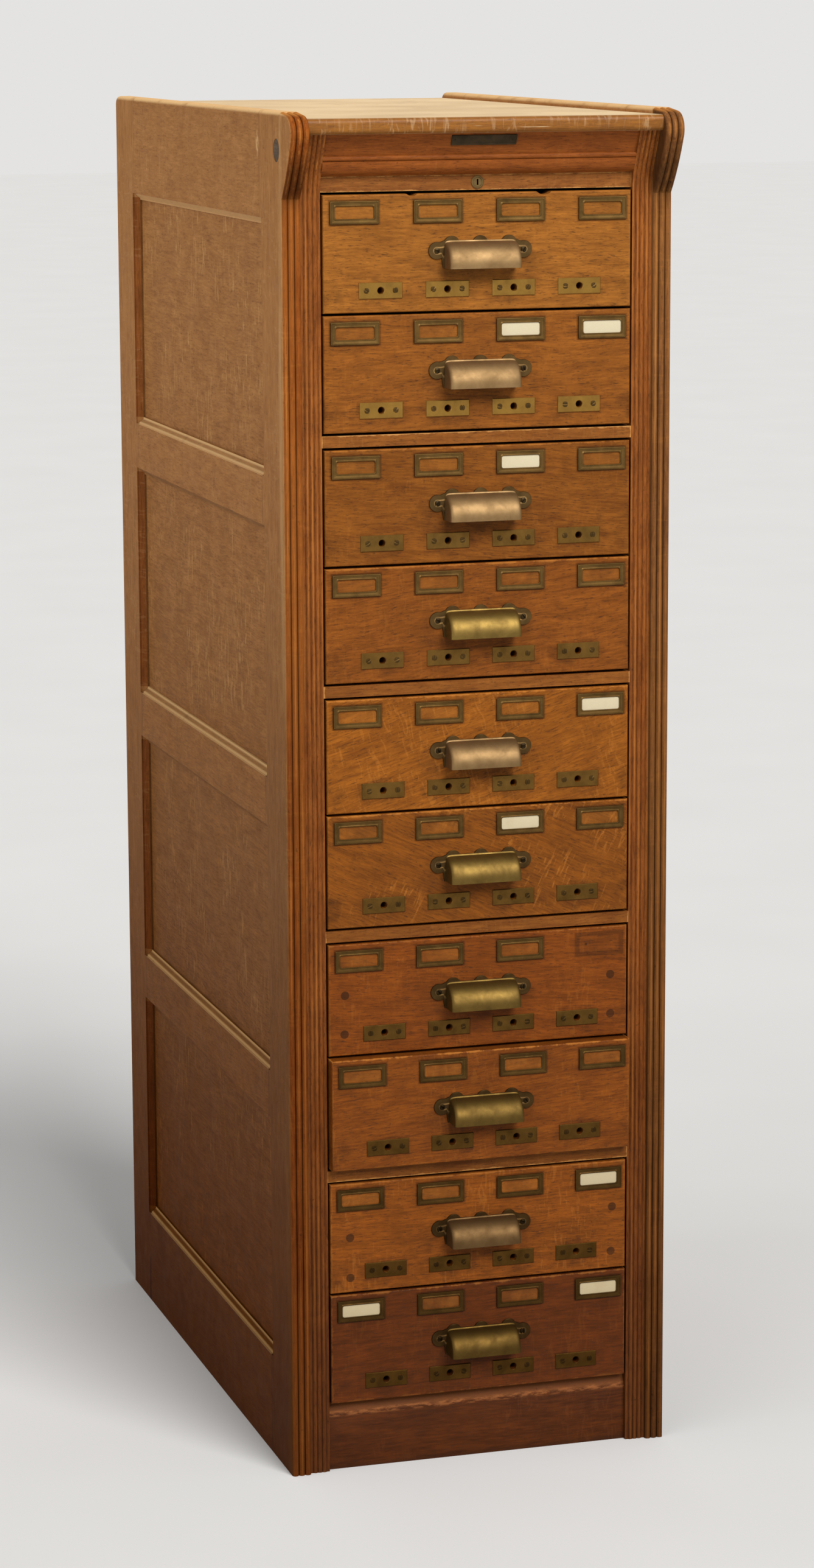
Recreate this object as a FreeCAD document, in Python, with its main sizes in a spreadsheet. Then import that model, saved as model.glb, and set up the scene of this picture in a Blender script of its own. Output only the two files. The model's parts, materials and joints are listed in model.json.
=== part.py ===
"""Oak card cabinet: ten drawers in five pairs between reeded, corbelled gables.

Frame: +Z up, the fronts face -Y, +X is to the right seen from the front.  The origin is on the
floor under the middle of the cabinet's box.  Sizes are millimetres.
"""
import FreeCAD, Part
import math
import os
import re
import Sketcher

Vector = FreeCAD.Vector
ORIGIN_POINT = (-1, 1)      # a sketch's own origin, as constraints name it
START, END = 1, 2           # the ends of a sketch line, as constraints name them

SIZES = {
    # carcass
    "cabinet_width": 390.0,
    "cabinet_high": 1337.0,
    "gable_thick": 19.0,
    "front_plane": 322.5,       # from the origin forward to the drawers' faces
    "rear_plane": 360.5,        # from the origin back to the gables' rear edges
    "rear_round": 9.0,
    "top_round": 4.5,
    # reeded front edge of a gable and its corbel
    "reed_high": 2.6,
    "edge_depth": 10.0,
    "corbel_break": 1256.6,
    "corbel_reach": 38.0,
    "corbel_radius": 210.0,
    "nose_radius": 15.0,
    "nose_slope": 6.0,          # degrees
    "corbel_tail": 2.0,         # where the nose runs out, behind the drawers' faces
    "core_inset": 4.0,
    # frame and panels of a gable
    "front_stile": 77.5,
    "rear_stile": 84.0,
    "bottom_rail": 109.0,
    "panel_high": 233.5,
    "mid_rail": 62.0,
    "sticking": 7.0,            # width of the moulding round a panel
    "panel_recess": 8.5,
    "panel_thick": 6.0,
    "panel_lap": 8.0,
    "scar_radius": 11.0,
    "scar_deep": 4.0,
    "scar_back": 14.0,          # behind the drawers' faces
    "scar_up": 1301.0,
    # pilasters beside the drawers
    "opening_width": 312.0,
    "pilaster_back": 2.0,
    "pilaster_deep": 20.0,
    "pilaster_break": 1257.0,
    "pilaster_radius": 60.0,
    "pilaster_lean": 27.0,      # degrees
    "pilaster_reed": 1.1,
    # top, cornice, lock rail, plinth
    "top_thick": 15.0,
    "top_drop": 6.0,            # from the gables' top down to the top board's
    "top_reach": 30.0,
    "top_nosing": 5.0,
    "cornice_foot": 1276.0,
    "cornice_deep": 16.0,       # behind the drawers' faces
    "bead_top": 19.6,           # above the cornice's foot
    "frieze_foot": 7.2,         # ahead of the drawers' faces, as is the next
    "frieze_reach": 18.0,
    "lock_rail_high": 14.5,
    "lock_rail_back": 5.0,
    "lock_rail_thick": 19.0,
    "plinth_high": 68.0,
    "plinth_bevel": 6.0,
    "plinth_back": 7.0,
    "board_thick": 12.0,
    "floor_lift": 50.0,
    "back_inset": 2.0,          # from the gables' rear edges in to the back
    "back_stile": 60.0,
    # drawers
    "drawers_bottom": 70.2,
    "drawer_width": 308.0,
    "drawer_high": 111.2,
    "drawer_front": 19.0,
    "front_round": 1.8,
    "pair_gap": 2.4,
    "rail_gap": 2.5,
    "rail_high": 11.2,
    "rail_deep": 60.0,
    "ajar": 10.0,               # how far drawer 8 stands open
    "box_width": 298.0,
    "box_long": 640.0,
    "box_lift": 12.0,
    "box_high": 84.0,
    "box_wall": 10.0,
    "box_floor": 6.0,
    "box_rebate": 4.0,
    "divider_thick": 5.0,
    "divider_high": 38.0,
    "runner_clear": 0.3,
    "runner_foot": 2.0,
    "guide_clear": 0.5,
    "guide_high": 20.0,
    # label frames
    "label_pitch": 82.7,
    "label_shift": 0.8,
    "label_wide": 48.5,
    "label_high": 22.0,
    "label_thick": 2.0,
    "label_drop": 5.6,
    "window_wide": 38.3,
    "window_high": 13.0,
    "slot_deep": 0.8,
    "card_wide": 43.0,
    "card_thick": 0.4,
    "card_high": 19.7,
    # rod plates
    "rod_pitch": 66.4,
    "rod_shift": 2.0,
    "rod_drop": 90.3,
    "rod_radius": 3.2,
    "plate_wide": 43.0,
    "plate_high": 15.5,
    "plate_thick": 1.2,
    "plate_screw": 14.3,
    "screw_head": 3.0,
    "head_high": 0.7,
    "screw_shank": 1.4,
    "screw_long": 12.0,
    "pilot_clear": 0.05,
    # cup pull
    "pull_shift": 1.5,
    "pull_drop": 45.5,          # drawer's top down to the hood's top
    "hood_wide": 72.0,
    "hood_high": 25.0,
    "hood_reach": 21.5,
    "hood_round": 4.5,
    "hood_wall": 1.5,
    "flange_thick": 1.5,
    "flange_margin": 3.0,
    "ear_screw": 43.5,
    "ear_radius": 8.5,
    "ear_drop": 8.5,
    "bump_pitch": 28.6,
    "bump_radius": 8.0,
    "bump_rise": 5.5,
    # lock and name plate
    "lock_shift": 0.5,
    "lock_height": 1268.8,
    "rose_radius": 6.2,
    "rose_proud": 1.0,
    "barrel_radius": 5.6,
    "plug_radius": 4.2,
    "fit_clear": 0.05,
    "case_wide": 30.0,
    "case_high": 12.5,
    "case_deep": 10.0,
    "cam_long": 13.0,
    "cam_thick": 3.0,
    "keyway": 1.6,
    "plate_name_wide": 65.0,
    "plate_name_high": 10.7,
    "plate_name_thick": 1.2,
}

DRAWERS = range(1, 11)
AJAR_DRAWER = 8
# drawer: places, counted from the left, whose frames hold a blank card
CARDS = {2: (3, 4), 3: (3,), 5: (4,), 6: (3,), 9: (4,), 10: (1, 4)}
LOST_FRAMES = {7: (4,)}
# worn dips in drawer 1's top edge: middle across the front, width, depth
WORN_DIPS = ((-66.0, 11.0, 2.0), (66.0, 15.0, 3.0))

doc = FreeCAD.newDocument("CardCabinet")
sheet = doc.addObject("Spreadsheet::Sheet", "Sizes")
for row, (alias, value) in enumerate(SIZES.items(), start=1):
    sheet.set(f"A{row}", alias)
    sheet.set(f"B{row}", str(value))
    sheet.setAlias(f"B{row}", alias)
doc.recompute()
nodes = []


def size(alias):
    """A driving dimension as the sheet holds it."""
    return float(sheet.get(alias))


def formula(text):
    """Point every alias in a formula at the sheet."""
    return re.sub(r"[a-z_]+", lambda word: ("Sizes." if word[0] in SIZES else "") + word[0], str(text))


def bind(thing, **formulas):
    """Bind properties to the sheet; a double underscore stands for a dot in the property's path."""
    for path, text in formulas.items():
        thing.setExpression(path.replace("__", "."), formula(text))


def place(thing, across, back, up):
    """Bind where a piece lies."""
    bind(thing, Placement__Base__x=across, Placement__Base__y=back, Placement__Base__z=up)


def node(label, pieces):
    """One named sub-part, made of separate solids that stay separate."""
    group = doc.addObject("Part::Compound", label)
    group.Label = label
    group.Links = pieces
    nodes.append(group)
    return group


def board(name, corner, extent):
    """A rectangular board from its lowest corner and its size."""
    box = doc.addObject("Part::Box", name)
    bind(box, Length=extent[0], Width=extent[1], Height=extent[2])
    place(box, *corner)
    return box


def rod(name, radius, length, start, axis="y"):
    """A round rod from the middle of its first end, along +X, +Y or +Z."""
    cylinder = doc.addObject("Part::Cylinder", name)
    bind(cylinder, Radius=radius, Height=length)
    turns = {"x": (Vector(0, 1, 0), 90), "y": (Vector(1, 0, 0), -90), "z": (Vector(0, 0, 1), 0)}
    cylinder.Placement.Rotation = FreeCAD.Rotation(*turns[axis])
    place(cylinder, *start)
    return cylinder


def cut(name, base, tools):
    """Base less the tools."""
    if len(tools) > 1:
        tool = doc.addObject("Part::MultiFuse", f"{name}_tools")
        tool.Shapes = tools
    else:
        tool = tools[0]
    result = doc.addObject("Part::Cut", name)
    result.Base = base
    result.Tool = tool
    result.Refine = True
    return result


def fuse(name, pieces):
    """One solid of several overlapping ones."""
    result = doc.addObject("Part::MultiFuse", name)
    result.Shapes = pieces
    result.Refine = True
    return result


def fillet(name, base, radius, chosen):
    """Round the edges of base for which chosen(edge) is true."""
    doc.recompute()
    rounded = doc.addObject("Part::Fillet", name)
    rounded.Base = base
    rounded.Edges = [
        (index, radius, radius)
        for index, edge in enumerate(base.Shape.Edges, start=1)
        if chosen(edge)
    ]
    doc.recompute()
    return rounded


def spread(pitch, count=4):
    """Places of count things a pitch apart about zero."""
    return [(index - (count - 1) / 2) * pitch for index in range(count)]


def scripted(label, shape):
    """A sub-part whose shape is swept or lofted here from the sheet's sizes."""
    part = doc.addObject("Part::Feature", label)
    part.Label = label
    part.Shape = shape
    part.Placement = FreeCAD.Placement(Vector(0, -size("front_plane"), 0), FreeCAD.Rotation())
    nodes.append(part)
    return part


# ---- gables -------------------------------------------------------------------------------------


def side_point(forward, up):
    """A point of a side outline: forward of the drawers' faces and up from the floor."""
    return Vector(0, -forward, up)


def corbel_circles():
    """Centres of the corbel's long arc and of its nose arc, as (forward, up)."""
    nose = size("nose_radius")
    slope = math.radians(size("nose_slope"))
    forward = size("corbel_reach") - size("reed_high") - nose
    run = forward + nose * math.sin(slope) + size("corbel_tail") + 0.5
    rise = nose * math.cos(slope) + run * math.tan(slope)
    small = (forward, size("cabinet_high") - size("reed_high") - rise)
    # the long arc starts at the break and meets the nose arc tangentially
    start = (0.0, size("corbel_break"))
    reach_start = size("corbel_radius")
    reach_small = size("corbel_radius") - nose
    apart = math.dist(start, small)
    along = (reach_start**2 - reach_small**2 + apart**2) / (2 * apart)
    aside = math.sqrt(reach_start**2 - along**2)
    unit = ((small[0] - start[0]) / apart, (small[1] - start[1]) / apart)
    large = (
        start[0] + unit[0] * along - unit[1] * aside,
        start[1] + unit[1] * along + unit[0] * aside,
    )
    return large, small


def on_circle(centre, radius, angle):
    """A point on a circle in a side outline; the angle is from forward towards up."""
    return side_point(centre[0] + radius * math.cos(angle), centre[1] + radius * math.sin(angle))


def front_edges(inset, tail):
    """The gable's front outline from the floor over the nose, moved in by inset, to tail behind."""
    large, small = corbel_circles()
    long_radius = size("corbel_radius") - inset
    nose = size("nose_radius") - inset
    slope = math.radians(size("nose_slope"))
    start_angle = -math.acos((-inset - large[0]) / long_radius)
    meet_angle = math.atan2(small[1] - large[1], small[0] - large[0])
    end_angle = math.pi / 2 - slope
    foot = side_point(-inset, 0)
    corner = on_circle(large, long_radius, start_angle)
    meet = on_circle(large, long_radius, meet_angle)
    brow = on_circle(small, nose, end_angle)
    last = side_point(-tail, brow.z + (tail - brow.y) * math.tan(slope))
    bend = on_circle(large, long_radius, (start_angle + meet_angle) / 2)
    tip = on_circle(small, nose, (meet_angle + end_angle) / 2)
    return [
        Part.LineSegment(foot, corner).toShape(),
        Part.Arc(corner, bend, meet).toShape(),
        Part.Arc(meet, tip, brow).toShape(),
        Part.LineSegment(brow, last).toShape(),
    ]


def reeded_profile(left, right, count, rise, margin, depth):
    """Closed outline on the floor plane: a flat back, and reeds that bulge forward."""
    inner = left + margin
    pitch = (right - left - 2 * margin) / count
    edges = []
    here = Vector(left, 0, 0)
    if margin:
        edges.append(Part.LineSegment(here, Vector(inner, 0, 0)).toShape())
    for reed in range(count):
        first = Vector(inner + reed * pitch, 0, 0)
        crest = Vector(inner + (reed + 0.5) * pitch, -rise, 0)
        last = Vector(inner + (reed + 1) * pitch, 0, 0)
        edges.append(Part.Arc(first, crest, last).toShape())
    if margin:
        edges.append(Part.LineSegment(Vector(right - margin, 0, 0), Vector(right, 0, 0)).toShape())
    back_right = Vector(right, depth, 0)
    back_left = Vector(left, depth, 0)
    edges.append(Part.LineSegment(Vector(right, 0, 0), back_right).toShape())
    edges.append(Part.LineSegment(back_right, back_left).toShape())
    edges.append(Part.LineSegment(back_left, here).toShape())
    return Part.Wire(edges)


def frustum(centre_y, centre_z, outer, inner, x_from, x_to):
    """A tapered block between two upright rectangles, given by their half sizes."""
    rings = []
    for (half_y, half_z), x in ((outer, x_from), (inner, x_to)):
        corners = [
            Vector(x, centre_y + sign_y * half_y, centre_z + sign_z * half_z)
            for sign_y, sign_z in ((-1, -1), (1, -1), (1, 1), (-1, 1), (-1, -1))
        ]
        rings.append(Part.makePolygon(corners))
    return Part.makeLoft(rings, True, True)


def panel_openings():
    """Middle (back, up) and half size of the four openings in a gable's frame."""
    rear = size("front_plane") + size("rear_plane")
    first = size("front_stile")
    last = rear - size("rear_stile")
    step = size("panel_high") + size("mid_rail")
    for row in range(4):
        up = size("bottom_rail") + size("panel_high") / 2 + row * step
        yield (first + last) / 2, up, (last - first) / 2, size("panel_high") / 2


def right_gable_shape():
    """Frame of the right gable: stiles and rails round four openings, reeded front edge."""
    outside = size("cabinet_width") / 2
    inside = outside - size("gable_thick")
    rear = size("front_plane") + size("rear_plane")
    high = size("cabinet_high")
    round_off = size("rear_round")
    tail = size("corbel_tail")
    core_inset = size("core_inset")
    outline = front_edges(core_inset, tail)
    turn = outline[-1].Vertexes[-1].Point
    step_up = Vector(0, tail, high)
    lean = round_off * (1 - math.sqrt(0.5))
    outline += [
        Part.LineSegment(turn, step_up).toShape(),
        Part.LineSegment(step_up, Vector(0, rear - round_off, high)).toShape(),
        Part.Arc(
            Vector(0, rear - round_off, high),
            Vector(0, rear - lean, high - lean),
            Vector(0, rear, high - round_off),
        ).toShape(),
        Part.LineSegment(Vector(0, rear, high - round_off), Vector(0, rear, 0)).toShape(),
        Part.LineSegment(Vector(0, rear, 0), Vector(0, core_inset, 0)).toShape(),
    ]
    core = Part.Face(Part.Wire(outline)).extrude(Vector(size("gable_thick"), 0, 0))
    core.translate(Vector(inside, 0, 0))
    top_edges = [
        edge
        for edge in core.Edges
        if edge.BoundBox.ZMin > high - 0.01 and edge.BoundBox.YLength > size("rear_stile")
    ]
    core = core.makeFillet(size("top_round"), top_edges)
    path = Part.Wire(front_edges(0.0, tail + 0.5))
    profile = reeded_profile(inside, outside, 3, size("reed_high"), 0.0, size("edge_depth"))
    edge_strip = path.makePipeShell([profile], True, False, 1)
    gable = core.fuse(edge_strip).removeSplitter()
    for back, up, half_y, half_z in panel_openings():
        gable = gable.cut(sticking_cutter(back, up, half_y, half_z, inside, outside))
    return gable


def sticking_cutter(back, up, half_y, half_z, inside, outside):
    """What is cut for one panel: a quirk and slope outside, the opening, a rebate inside."""
    wide = size("sticking")
    quirk = 1.6
    sight = outside - size("panel_recess")
    lap = size("panel_lap")
    quirk_box = Part.makeBox(
        2 * quirk, 2 * (half_y + wide), 2 * (half_z + wide),
        Vector(outside - quirk, back - half_y - wide, up - half_z - wide),
    )
    inner_half = (half_y + 1.5, half_z + 1.5)
    outer_half = (half_y + wide - 1.2, half_z + wide - 1.2)
    slope = frustum(back, up, outer_half, inner_half, outside - quirk, sight + 2.0)
    through = Part.makeBox(
        outside - inside + 2, 2 * half_y, 2 * half_z, Vector(inside - 1, back - half_y, up - half_z)
    )
    pocket = Part.makeBox(
        sight - inside + 1, 2 * (half_y + lap), 2 * (half_z + lap),
        Vector(inside - 1, back - half_y - lap, up - half_z - lap),
    )
    return quirk_box.fuse([slope, through, pocket])


def gables():
    """Both gable frames; the left one has a round filled hole near its top front corner."""
    right = right_gable_shape()
    left = right.mirror(Vector(0, 0, 0), Vector(1, 0, 0))
    outside = size("cabinet_width") / 2
    back = size("scar_back")
    up = size("scar_up")
    along = Vector(1, 0, 0)
    scar = Part.makeCylinder(size("scar_radius"), size("scar_deep"), Vector(-outside, back, up), along)
    scripted("right_gable", right)
    scripted("left_gable", left.cut(scar))
    plug = Part.makeCylinder(
        size("scar_radius") - 0.1, size("scar_deep") - 0.6, Vector(-outside + 0.5, back, up), along
    )
    scripted("gable_plug", plug)


def side_panels(side, label):
    """Four flat panels in the rebates of one gable."""
    panels = []
    for row in range(4):
        near = "cabinet_width / 2 - panel_recess - panel_thick"
        left = near if side > 0 else f"-({near}) - panel_thick"
        up = f"bottom_rail - panel_lap + 0.2 + {row} * (panel_high + mid_rail)"
        panels.append(
            board(
                f"{label}_{row + 1}",
                (left, "front_stile - panel_lap + 0.2 - front_plane", up),
                (
                    "panel_thick",
                    "rear_plane + front_plane - rear_stile - front_stile + 2 * panel_lap - 0.4",
                    "panel_high + 2 * panel_lap - 0.4",
                ),
            )
        )
    node(label, panels)


# ---- pilasters, top, cornice, plinth --------------------------------------------------------------


def pilaster_shape():
    """Right pilaster: a lightly reeded strip that leans forward under the top board."""
    inner = size("opening_width") / 2
    outer = size("cabinet_width") / 2 - size("gable_thick")
    back = size("pilaster_back")
    radius = size("pilaster_radius")
    lean = math.radians(size("pilaster_lean"))
    under = size("cabinet_high") - size("top_drop") - size("top_thick")
    break_up = size("pilaster_break")

    def arc_point(angle):
        return Vector(0, back - radius * (1 - math.cos(angle)), break_up + radius * math.sin(angle))

    bent = arc_point(lean)
    beyond = under + 10.0
    last = Vector(0, bent.y - (beyond - bent.z) * math.tan(lean), beyond)
    path = Part.Wire([
        Part.LineSegment(Vector(0, back, 0), arc_point(0)).toShape(),
        Part.Arc(arc_point(0), arc_point(lean / 2), bent).toShape(),
        Part.LineSegment(bent, last).toShape(),
    ])
    profile = reeded_profile(inner, outer, 3, size("pilaster_reed"), 3.0, size("pilaster_deep"))
    profile.translate(Vector(0, back, 0))
    strip = path.makePipeShell([profile], True, False, 1)
    reach = 200.0
    room = Part.makeBox(outer - inner, reach, under, Vector(inner, -reach / 2, 0))
    return strip.common(room)


def pilasters():
    """The strips on both sides of the drawers."""
    right = pilaster_shape()
    scripted("right_pilaster", right)
    scripted("left_pilaster", right.mirror(Vector(0, 0, 0), Vector(1, 0, 0)))


def top_board():
    """Top board between the gables with a rounded front edge."""
    plain = board(
        "top_plain",
        (
            "gable_thick - cabinet_width / 2",
            "-front_plane - top_reach",
            "cabinet_high - top_drop - top_thick",
        ),
        (
            "cabinet_width - 2 * gable_thick",
            "rear_plane + front_plane + top_reach - back_inset",
            "top_thick",
        ),
    )
    front = -size("front_plane") - size("top_reach")
    rounded = fillet(
        "top_rounded", plain, size("top_nosing"),
        lambda edge: edge.BoundBox.YMax < front + 0.01 and edge.BoundBox.XLength > 1,
    )
    node("top_board", [rounded])


def sketch_on(body, role, name):
    """A sketch on one of a body's own origin planes."""
    plane = next(item for item in body.Origin.OriginFeatures if item.Role == role)
    sketch = body.newObject("Sketcher::SketchObject", name)
    sketch.AttachmentSupport = [(plane, "")]
    sketch.MapMode = "FlatFace"
    return sketch


def polygon_sketch(body, role, name, corners):
    """Closed polygon; a corner is (across, up) in millimetres and the two formulas that hold it."""
    sketch = sketch_on(body, role, name)
    points = [Vector(across, up, 0) for across, up, _, _ in corners]
    sketch.addGeometry([
        Part.LineSegment(first, second) for first, second in zip(points, points[1:] + points[:1])
    ])
    for side in range(len(corners)):
        sketch.addConstraint(
            Sketcher.Constraint("Coincident", side, END, (side + 1) % len(corners), START)
        )
    for side, (across, up, across_formula, up_formula) in enumerate(corners):
        for kind, value, text in (("DistanceX", across, across_formula), ("DistanceY", up, up_formula)):
            index = sketch.addConstraint(Sketcher.Constraint(kind, *ORIGIN_POINT, side, START, value))
            sketch.setExpression(f"Constraints[{index}]", formula(text))
    return sketch


def cornice():
    """Moulding between the pilasters: ovolo, bead and a frieze that slopes out to the top board."""
    body = doc.addObject("PartDesign::Body", "cornice_body")
    sketch = sketch_on(body, "YZ_Plane", "cornice_outline")
    foot = size("cornice_foot")
    under = size("cabinet_high") - size("top_drop") - size("top_thick")

    def point(forward, above):
        return Vector(-size("front_plane") - forward, foot + above, 0)

    step = point(1.0, 2.2)
    ovolo = point(6.0, 8.0)
    quirk = point(7.3, 13.6)
    bead_low = point(6.2, 14.6)
    bead_mid = point(8.9, 17.2)
    bead_high = point(size("frieze_foot"), size("bead_top"))
    crown = point(size("frieze_reach"), under - foot)
    back_high = point(-size("cornice_deep"), under - foot)
    back_low = point(-size("cornice_deep"), 0)
    foot_front = point(-4.0, 0)
    sketch.addGeometry([
        Part.LineSegment(foot_front, step),
        Part.Arc(step, ovolo, quirk),
        Part.LineSegment(quirk, bead_low),
        Part.Arc(bead_low, bead_mid, bead_high),
        Part.LineSegment(bead_high, crown),
        Part.LineSegment(crown, back_high),
        Part.LineSegment(back_high, back_low),
        Part.LineSegment(back_low, foot_front),
    ])
    pad = body.newObject("PartDesign::Pad", "cornice_pad")
    pad.Profile = sketch
    pad.Midplane = True
    bind(pad, Length="opening_width")
    doc.recompute()
    node("cornice", [body])


def lock_rail():
    """Rail over drawer 1 with the hole for the lock."""
    plain = board(
        "lock_rail_board",
        ("-opening_width / 2", "lock_rail_back - front_plane", "cornice_foot - lock_rail_high"),
        ("opening_width", "lock_rail_thick", "lock_rail_high"),
    )
    hole = rod(
        "lock_rail_hole", "barrel_radius + fit_clear", "lock_rail_thick + 2",
        ("lock_shift", "lock_rail_back - front_plane - 1", "lock_height"),
    )
    node("lock_rail", [cut("lock_rail_cut", plain, [hole])])


def plinth():
    """Board under the drawers with a bevelled top edge."""
    body = doc.addObject("PartDesign::Body", "plinth_body")
    front = size("plinth_back") - size("front_plane")
    back = front + size("lock_rail_thick")
    high = size("plinth_high")
    bevel = size("plinth_bevel")
    front_text = "plinth_back - front_plane"
    back_text = f"{front_text} + lock_rail_thick"
    sketch = polygon_sketch(body, "YZ_Plane", "plinth_outline", [
        (front, 0, front_text, "0"),
        (front, high - 2 * bevel, front_text, "plinth_high - 2 * plinth_bevel"),
        (front + bevel, high, f"{front_text} + plinth_bevel", "plinth_high"),
        (back, high, back_text, "plinth_high"),
        (back, 0, back_text, "0"),
    ])
    pad = body.newObject("PartDesign::Pad", "plinth_pad")
    pad.Profile = sketch
    pad.Midplane = True
    bind(pad, Length="opening_width")
    doc.recompute()
    node("plinth", [body])


def rail_height(pair):
    """Formula for the underside of the rail over a pair of drawers, pairs counted from below."""
    return f"drawers_bottom + {pair} * {PAIR_PITCH} + 2 * drawer_high + pair_gap + rail_gap"


PAIR_PITCH = "(2 * drawer_high + pair_gap + 2 * rail_gap + rail_high)"


def drawer_height(number):
    """Formula for the underside of a drawer's front; drawer 1 is at the top."""
    pair = (10 - number) // 2
    step = "drawer_high + pair_gap" if number % 2 else "0"
    return f"drawers_bottom + {pair} * {PAIR_PITCH} + {step}"


def drawer_rails():
    """Four rails between the pairs of drawers."""
    rails = [
        board(
            f"rail_{pair + 1}",
            ("-opening_width / 2", "pilaster_back - front_plane", rail_height(pair)),
            ("opening_width", "rail_deep", "rail_high"),
        )
        for pair in range(4)
    ]
    node("drawer_rails", rails)


def drawer_runners():
    """A bearer and a guide on each side of every drawer, fixed to the gables."""
    pieces = []
    long = "front_plane + rear_plane - pilaster_back - pilaster_deep - board_thick - 2 * back_inset"
    for number in DRAWERS:
        base = drawer_height(number)
        for side, name in ((-1, "left"), (1, "right")):
            bearer_from = "box_width / 2 - box_wall"
            guide_from = "box_width / 2 + guide_clear"
            wall = "(cabinet_width / 2 - gable_thick)"
            parts = (
                ("bearer", bearer_from, "runner_foot", "box_lift - runner_clear - runner_foot"),
                ("guide", guide_from, "box_lift - runner_clear", "guide_high"),
            )
            for kind, near, low, high in parts:
                left = near if side > 0 else f"-{wall}"
                pieces.append(
                    board(
                        f"{kind}_{number}_{name}",
                        (left, "pilaster_back + pilaster_deep - front_plane", f"{base} + {low}"),
                        (f"{wall} - ({near})", long, high),
                    )
                )
    node("drawer_runners", pieces)


def bottom_board():
    """Board across the bottom of the carcass."""
    node("bottom_board", [
        board(
            "bottom_plain",
            (
                "gable_thick - cabinet_width / 2",
                "plinth_back + lock_rail_thick - front_plane",
                "floor_lift",
            ),
            (
                "cabinet_width - 2 * gable_thick",
                "front_plane + rear_plane - plinth_back - lock_rail_thick - board_thick - back_inset",
                "board_thick",
            ),
        )
    ])


def carcass_back():
    """Framed back: two stiles, three rails and two thin panels between the gables."""
    inside = "(cabinet_width / 2 - gable_thick)"
    near = "rear_plane - board_thick - back_inset"
    under = "(cabinet_high - top_drop - top_thick)"
    rail_width = f"2 * {inside} - 2 * back_stile"
    frame = [
        board(f"back_stile_{side}", (left, near, 0), ("back_stile", "board_thick", under))
        for side, left in (("left", f"-{inside}"), ("right", f"{inside} - back_stile"))
    ]
    rails = (
        ("low", "0", "bottom_rail"),
        ("mid", f"{under} / 2 - back_stile / 2", "back_stile"),
        ("high", f"{under} - back_stile", "back_stile"),
    )
    for name, low, high in rails:
        frame.append(
            board(
                f"back_rail_{name}", (f"back_stile - {inside}", near, low),
                (rail_width, "board_thick", high),
            )
        )
    node("back_frame", frame)
    spans = (
        ("low", "bottom_rail", f"{under} / 2 - back_stile / 2"),
        ("high", f"{under} / 2 + back_stile / 2", f"{under} - back_stile"),
    )
    panels = [
        board(
            f"back_panel_{name}", (f"back_stile - {inside}", f"{near} + 3", low),
            (rail_width, "panel_thick", f"{high} - ({low})"),
        )
        for name, low, high in spans
    ]
    node("back_panels", panels)


# ---- lock and name plate --------------------------------------------------------------------------


def lock():
    """Lock body behind the rail, with a round face, and the plug that turns in it."""
    face = "lock_rail_back - front_plane"
    inside = f"{face} + lock_rail_thick"
    rose = rod(
        "lock_rose", "rose_radius", "rose_proud", ("lock_shift", f"{face} - rose_proud", "lock_height")
    )
    barrel = rod("lock_barrel", "barrel_radius", "lock_rail_thick + 1", ("lock_shift", face, "lock_height"))
    case = board(
        "lock_case",
        ("lock_shift - case_wide / 2", inside, "lock_height - case_high / 2"),
        ("case_wide", "case_deep", "case_high"),
    )
    bore = rod(
        "lock_bore", "plug_radius + fit_clear", "lock_rail_thick + case_deep + 4",
        ("lock_shift", f"{face} - 2", "lock_height"),
    )
    node("lock_body", [cut("lock_shell", fuse("lock_solid", [rose, barrel, case]), [bore])])
    stem = rod(
        "plug_stem", "plug_radius", "rose_proud + lock_rail_thick + case_deep + 1",
        ("lock_shift", f"{face} - rose_proud + 0.3", "lock_height"),
    )
    cam = board(
        "plug_cam",
        ("lock_shift - 2.5", f"{inside} + case_deep + 0.3", "lock_height - 2.5"),
        ("cam_long", "cam_thick", 5),
    )
    slot = board(
        "plug_keyway",
        ("lock_shift - keyway / 2", f"{face} - 2", "lock_height - 2.8"),
        ("keyway", 12, 5.6),
    )
    node("lock_plug", [cut("plug_cut", fuse("plug_solid", [stem, cam]), [slot])])


def name_plate():
    """Blank metal plate on the sloping frieze."""
    bead = size("cornice_foot") + size("bead_top")
    rise = size("cabinet_high") - size("top_drop") - size("top_thick") - bead
    lean = math.atan2(size("frieze_reach") - size("frieze_foot"), rise)
    low = 1304.6
    forward = size("frieze_foot") + (low - bead) * math.tan(lean)
    proud = size("plate_name_thick")
    plate = board(
        "name_plain",
        (
            "lock_shift + 0.5 - plate_name_wide / 2",
            f"-front_plane - {forward} - {proud * math.cos(lean)}",
            low - proud * math.sin(lean),
        ),
        ("plate_name_wide", "plate_name_thick", "plate_name_high"),
    )
    plate.Placement.Rotation = FreeCAD.Rotation(Vector(1, 0, 0), math.degrees(lean))
    node("name_plate", [plate])


# ---- drawers, each made about the middle of its front's lower edge ----------------------------------


def screw_places():
    """Across and up formulas of every screw and rod hole in a drawer's front."""
    rods = [(f"rod_shift + {step}", "drawer_high - rod_drop") for step in spread(size("rod_pitch"))]
    plate = [(f"{x} + {side} * plate_screw", z) for x, z in rods for side in (-1, 1)]
    ears = [(f"pull_shift + {side} * ear_screw", "drawer_high - pull_drop - ear_drop") for side in (-1, 1)]
    return rods, plate, ears


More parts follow.
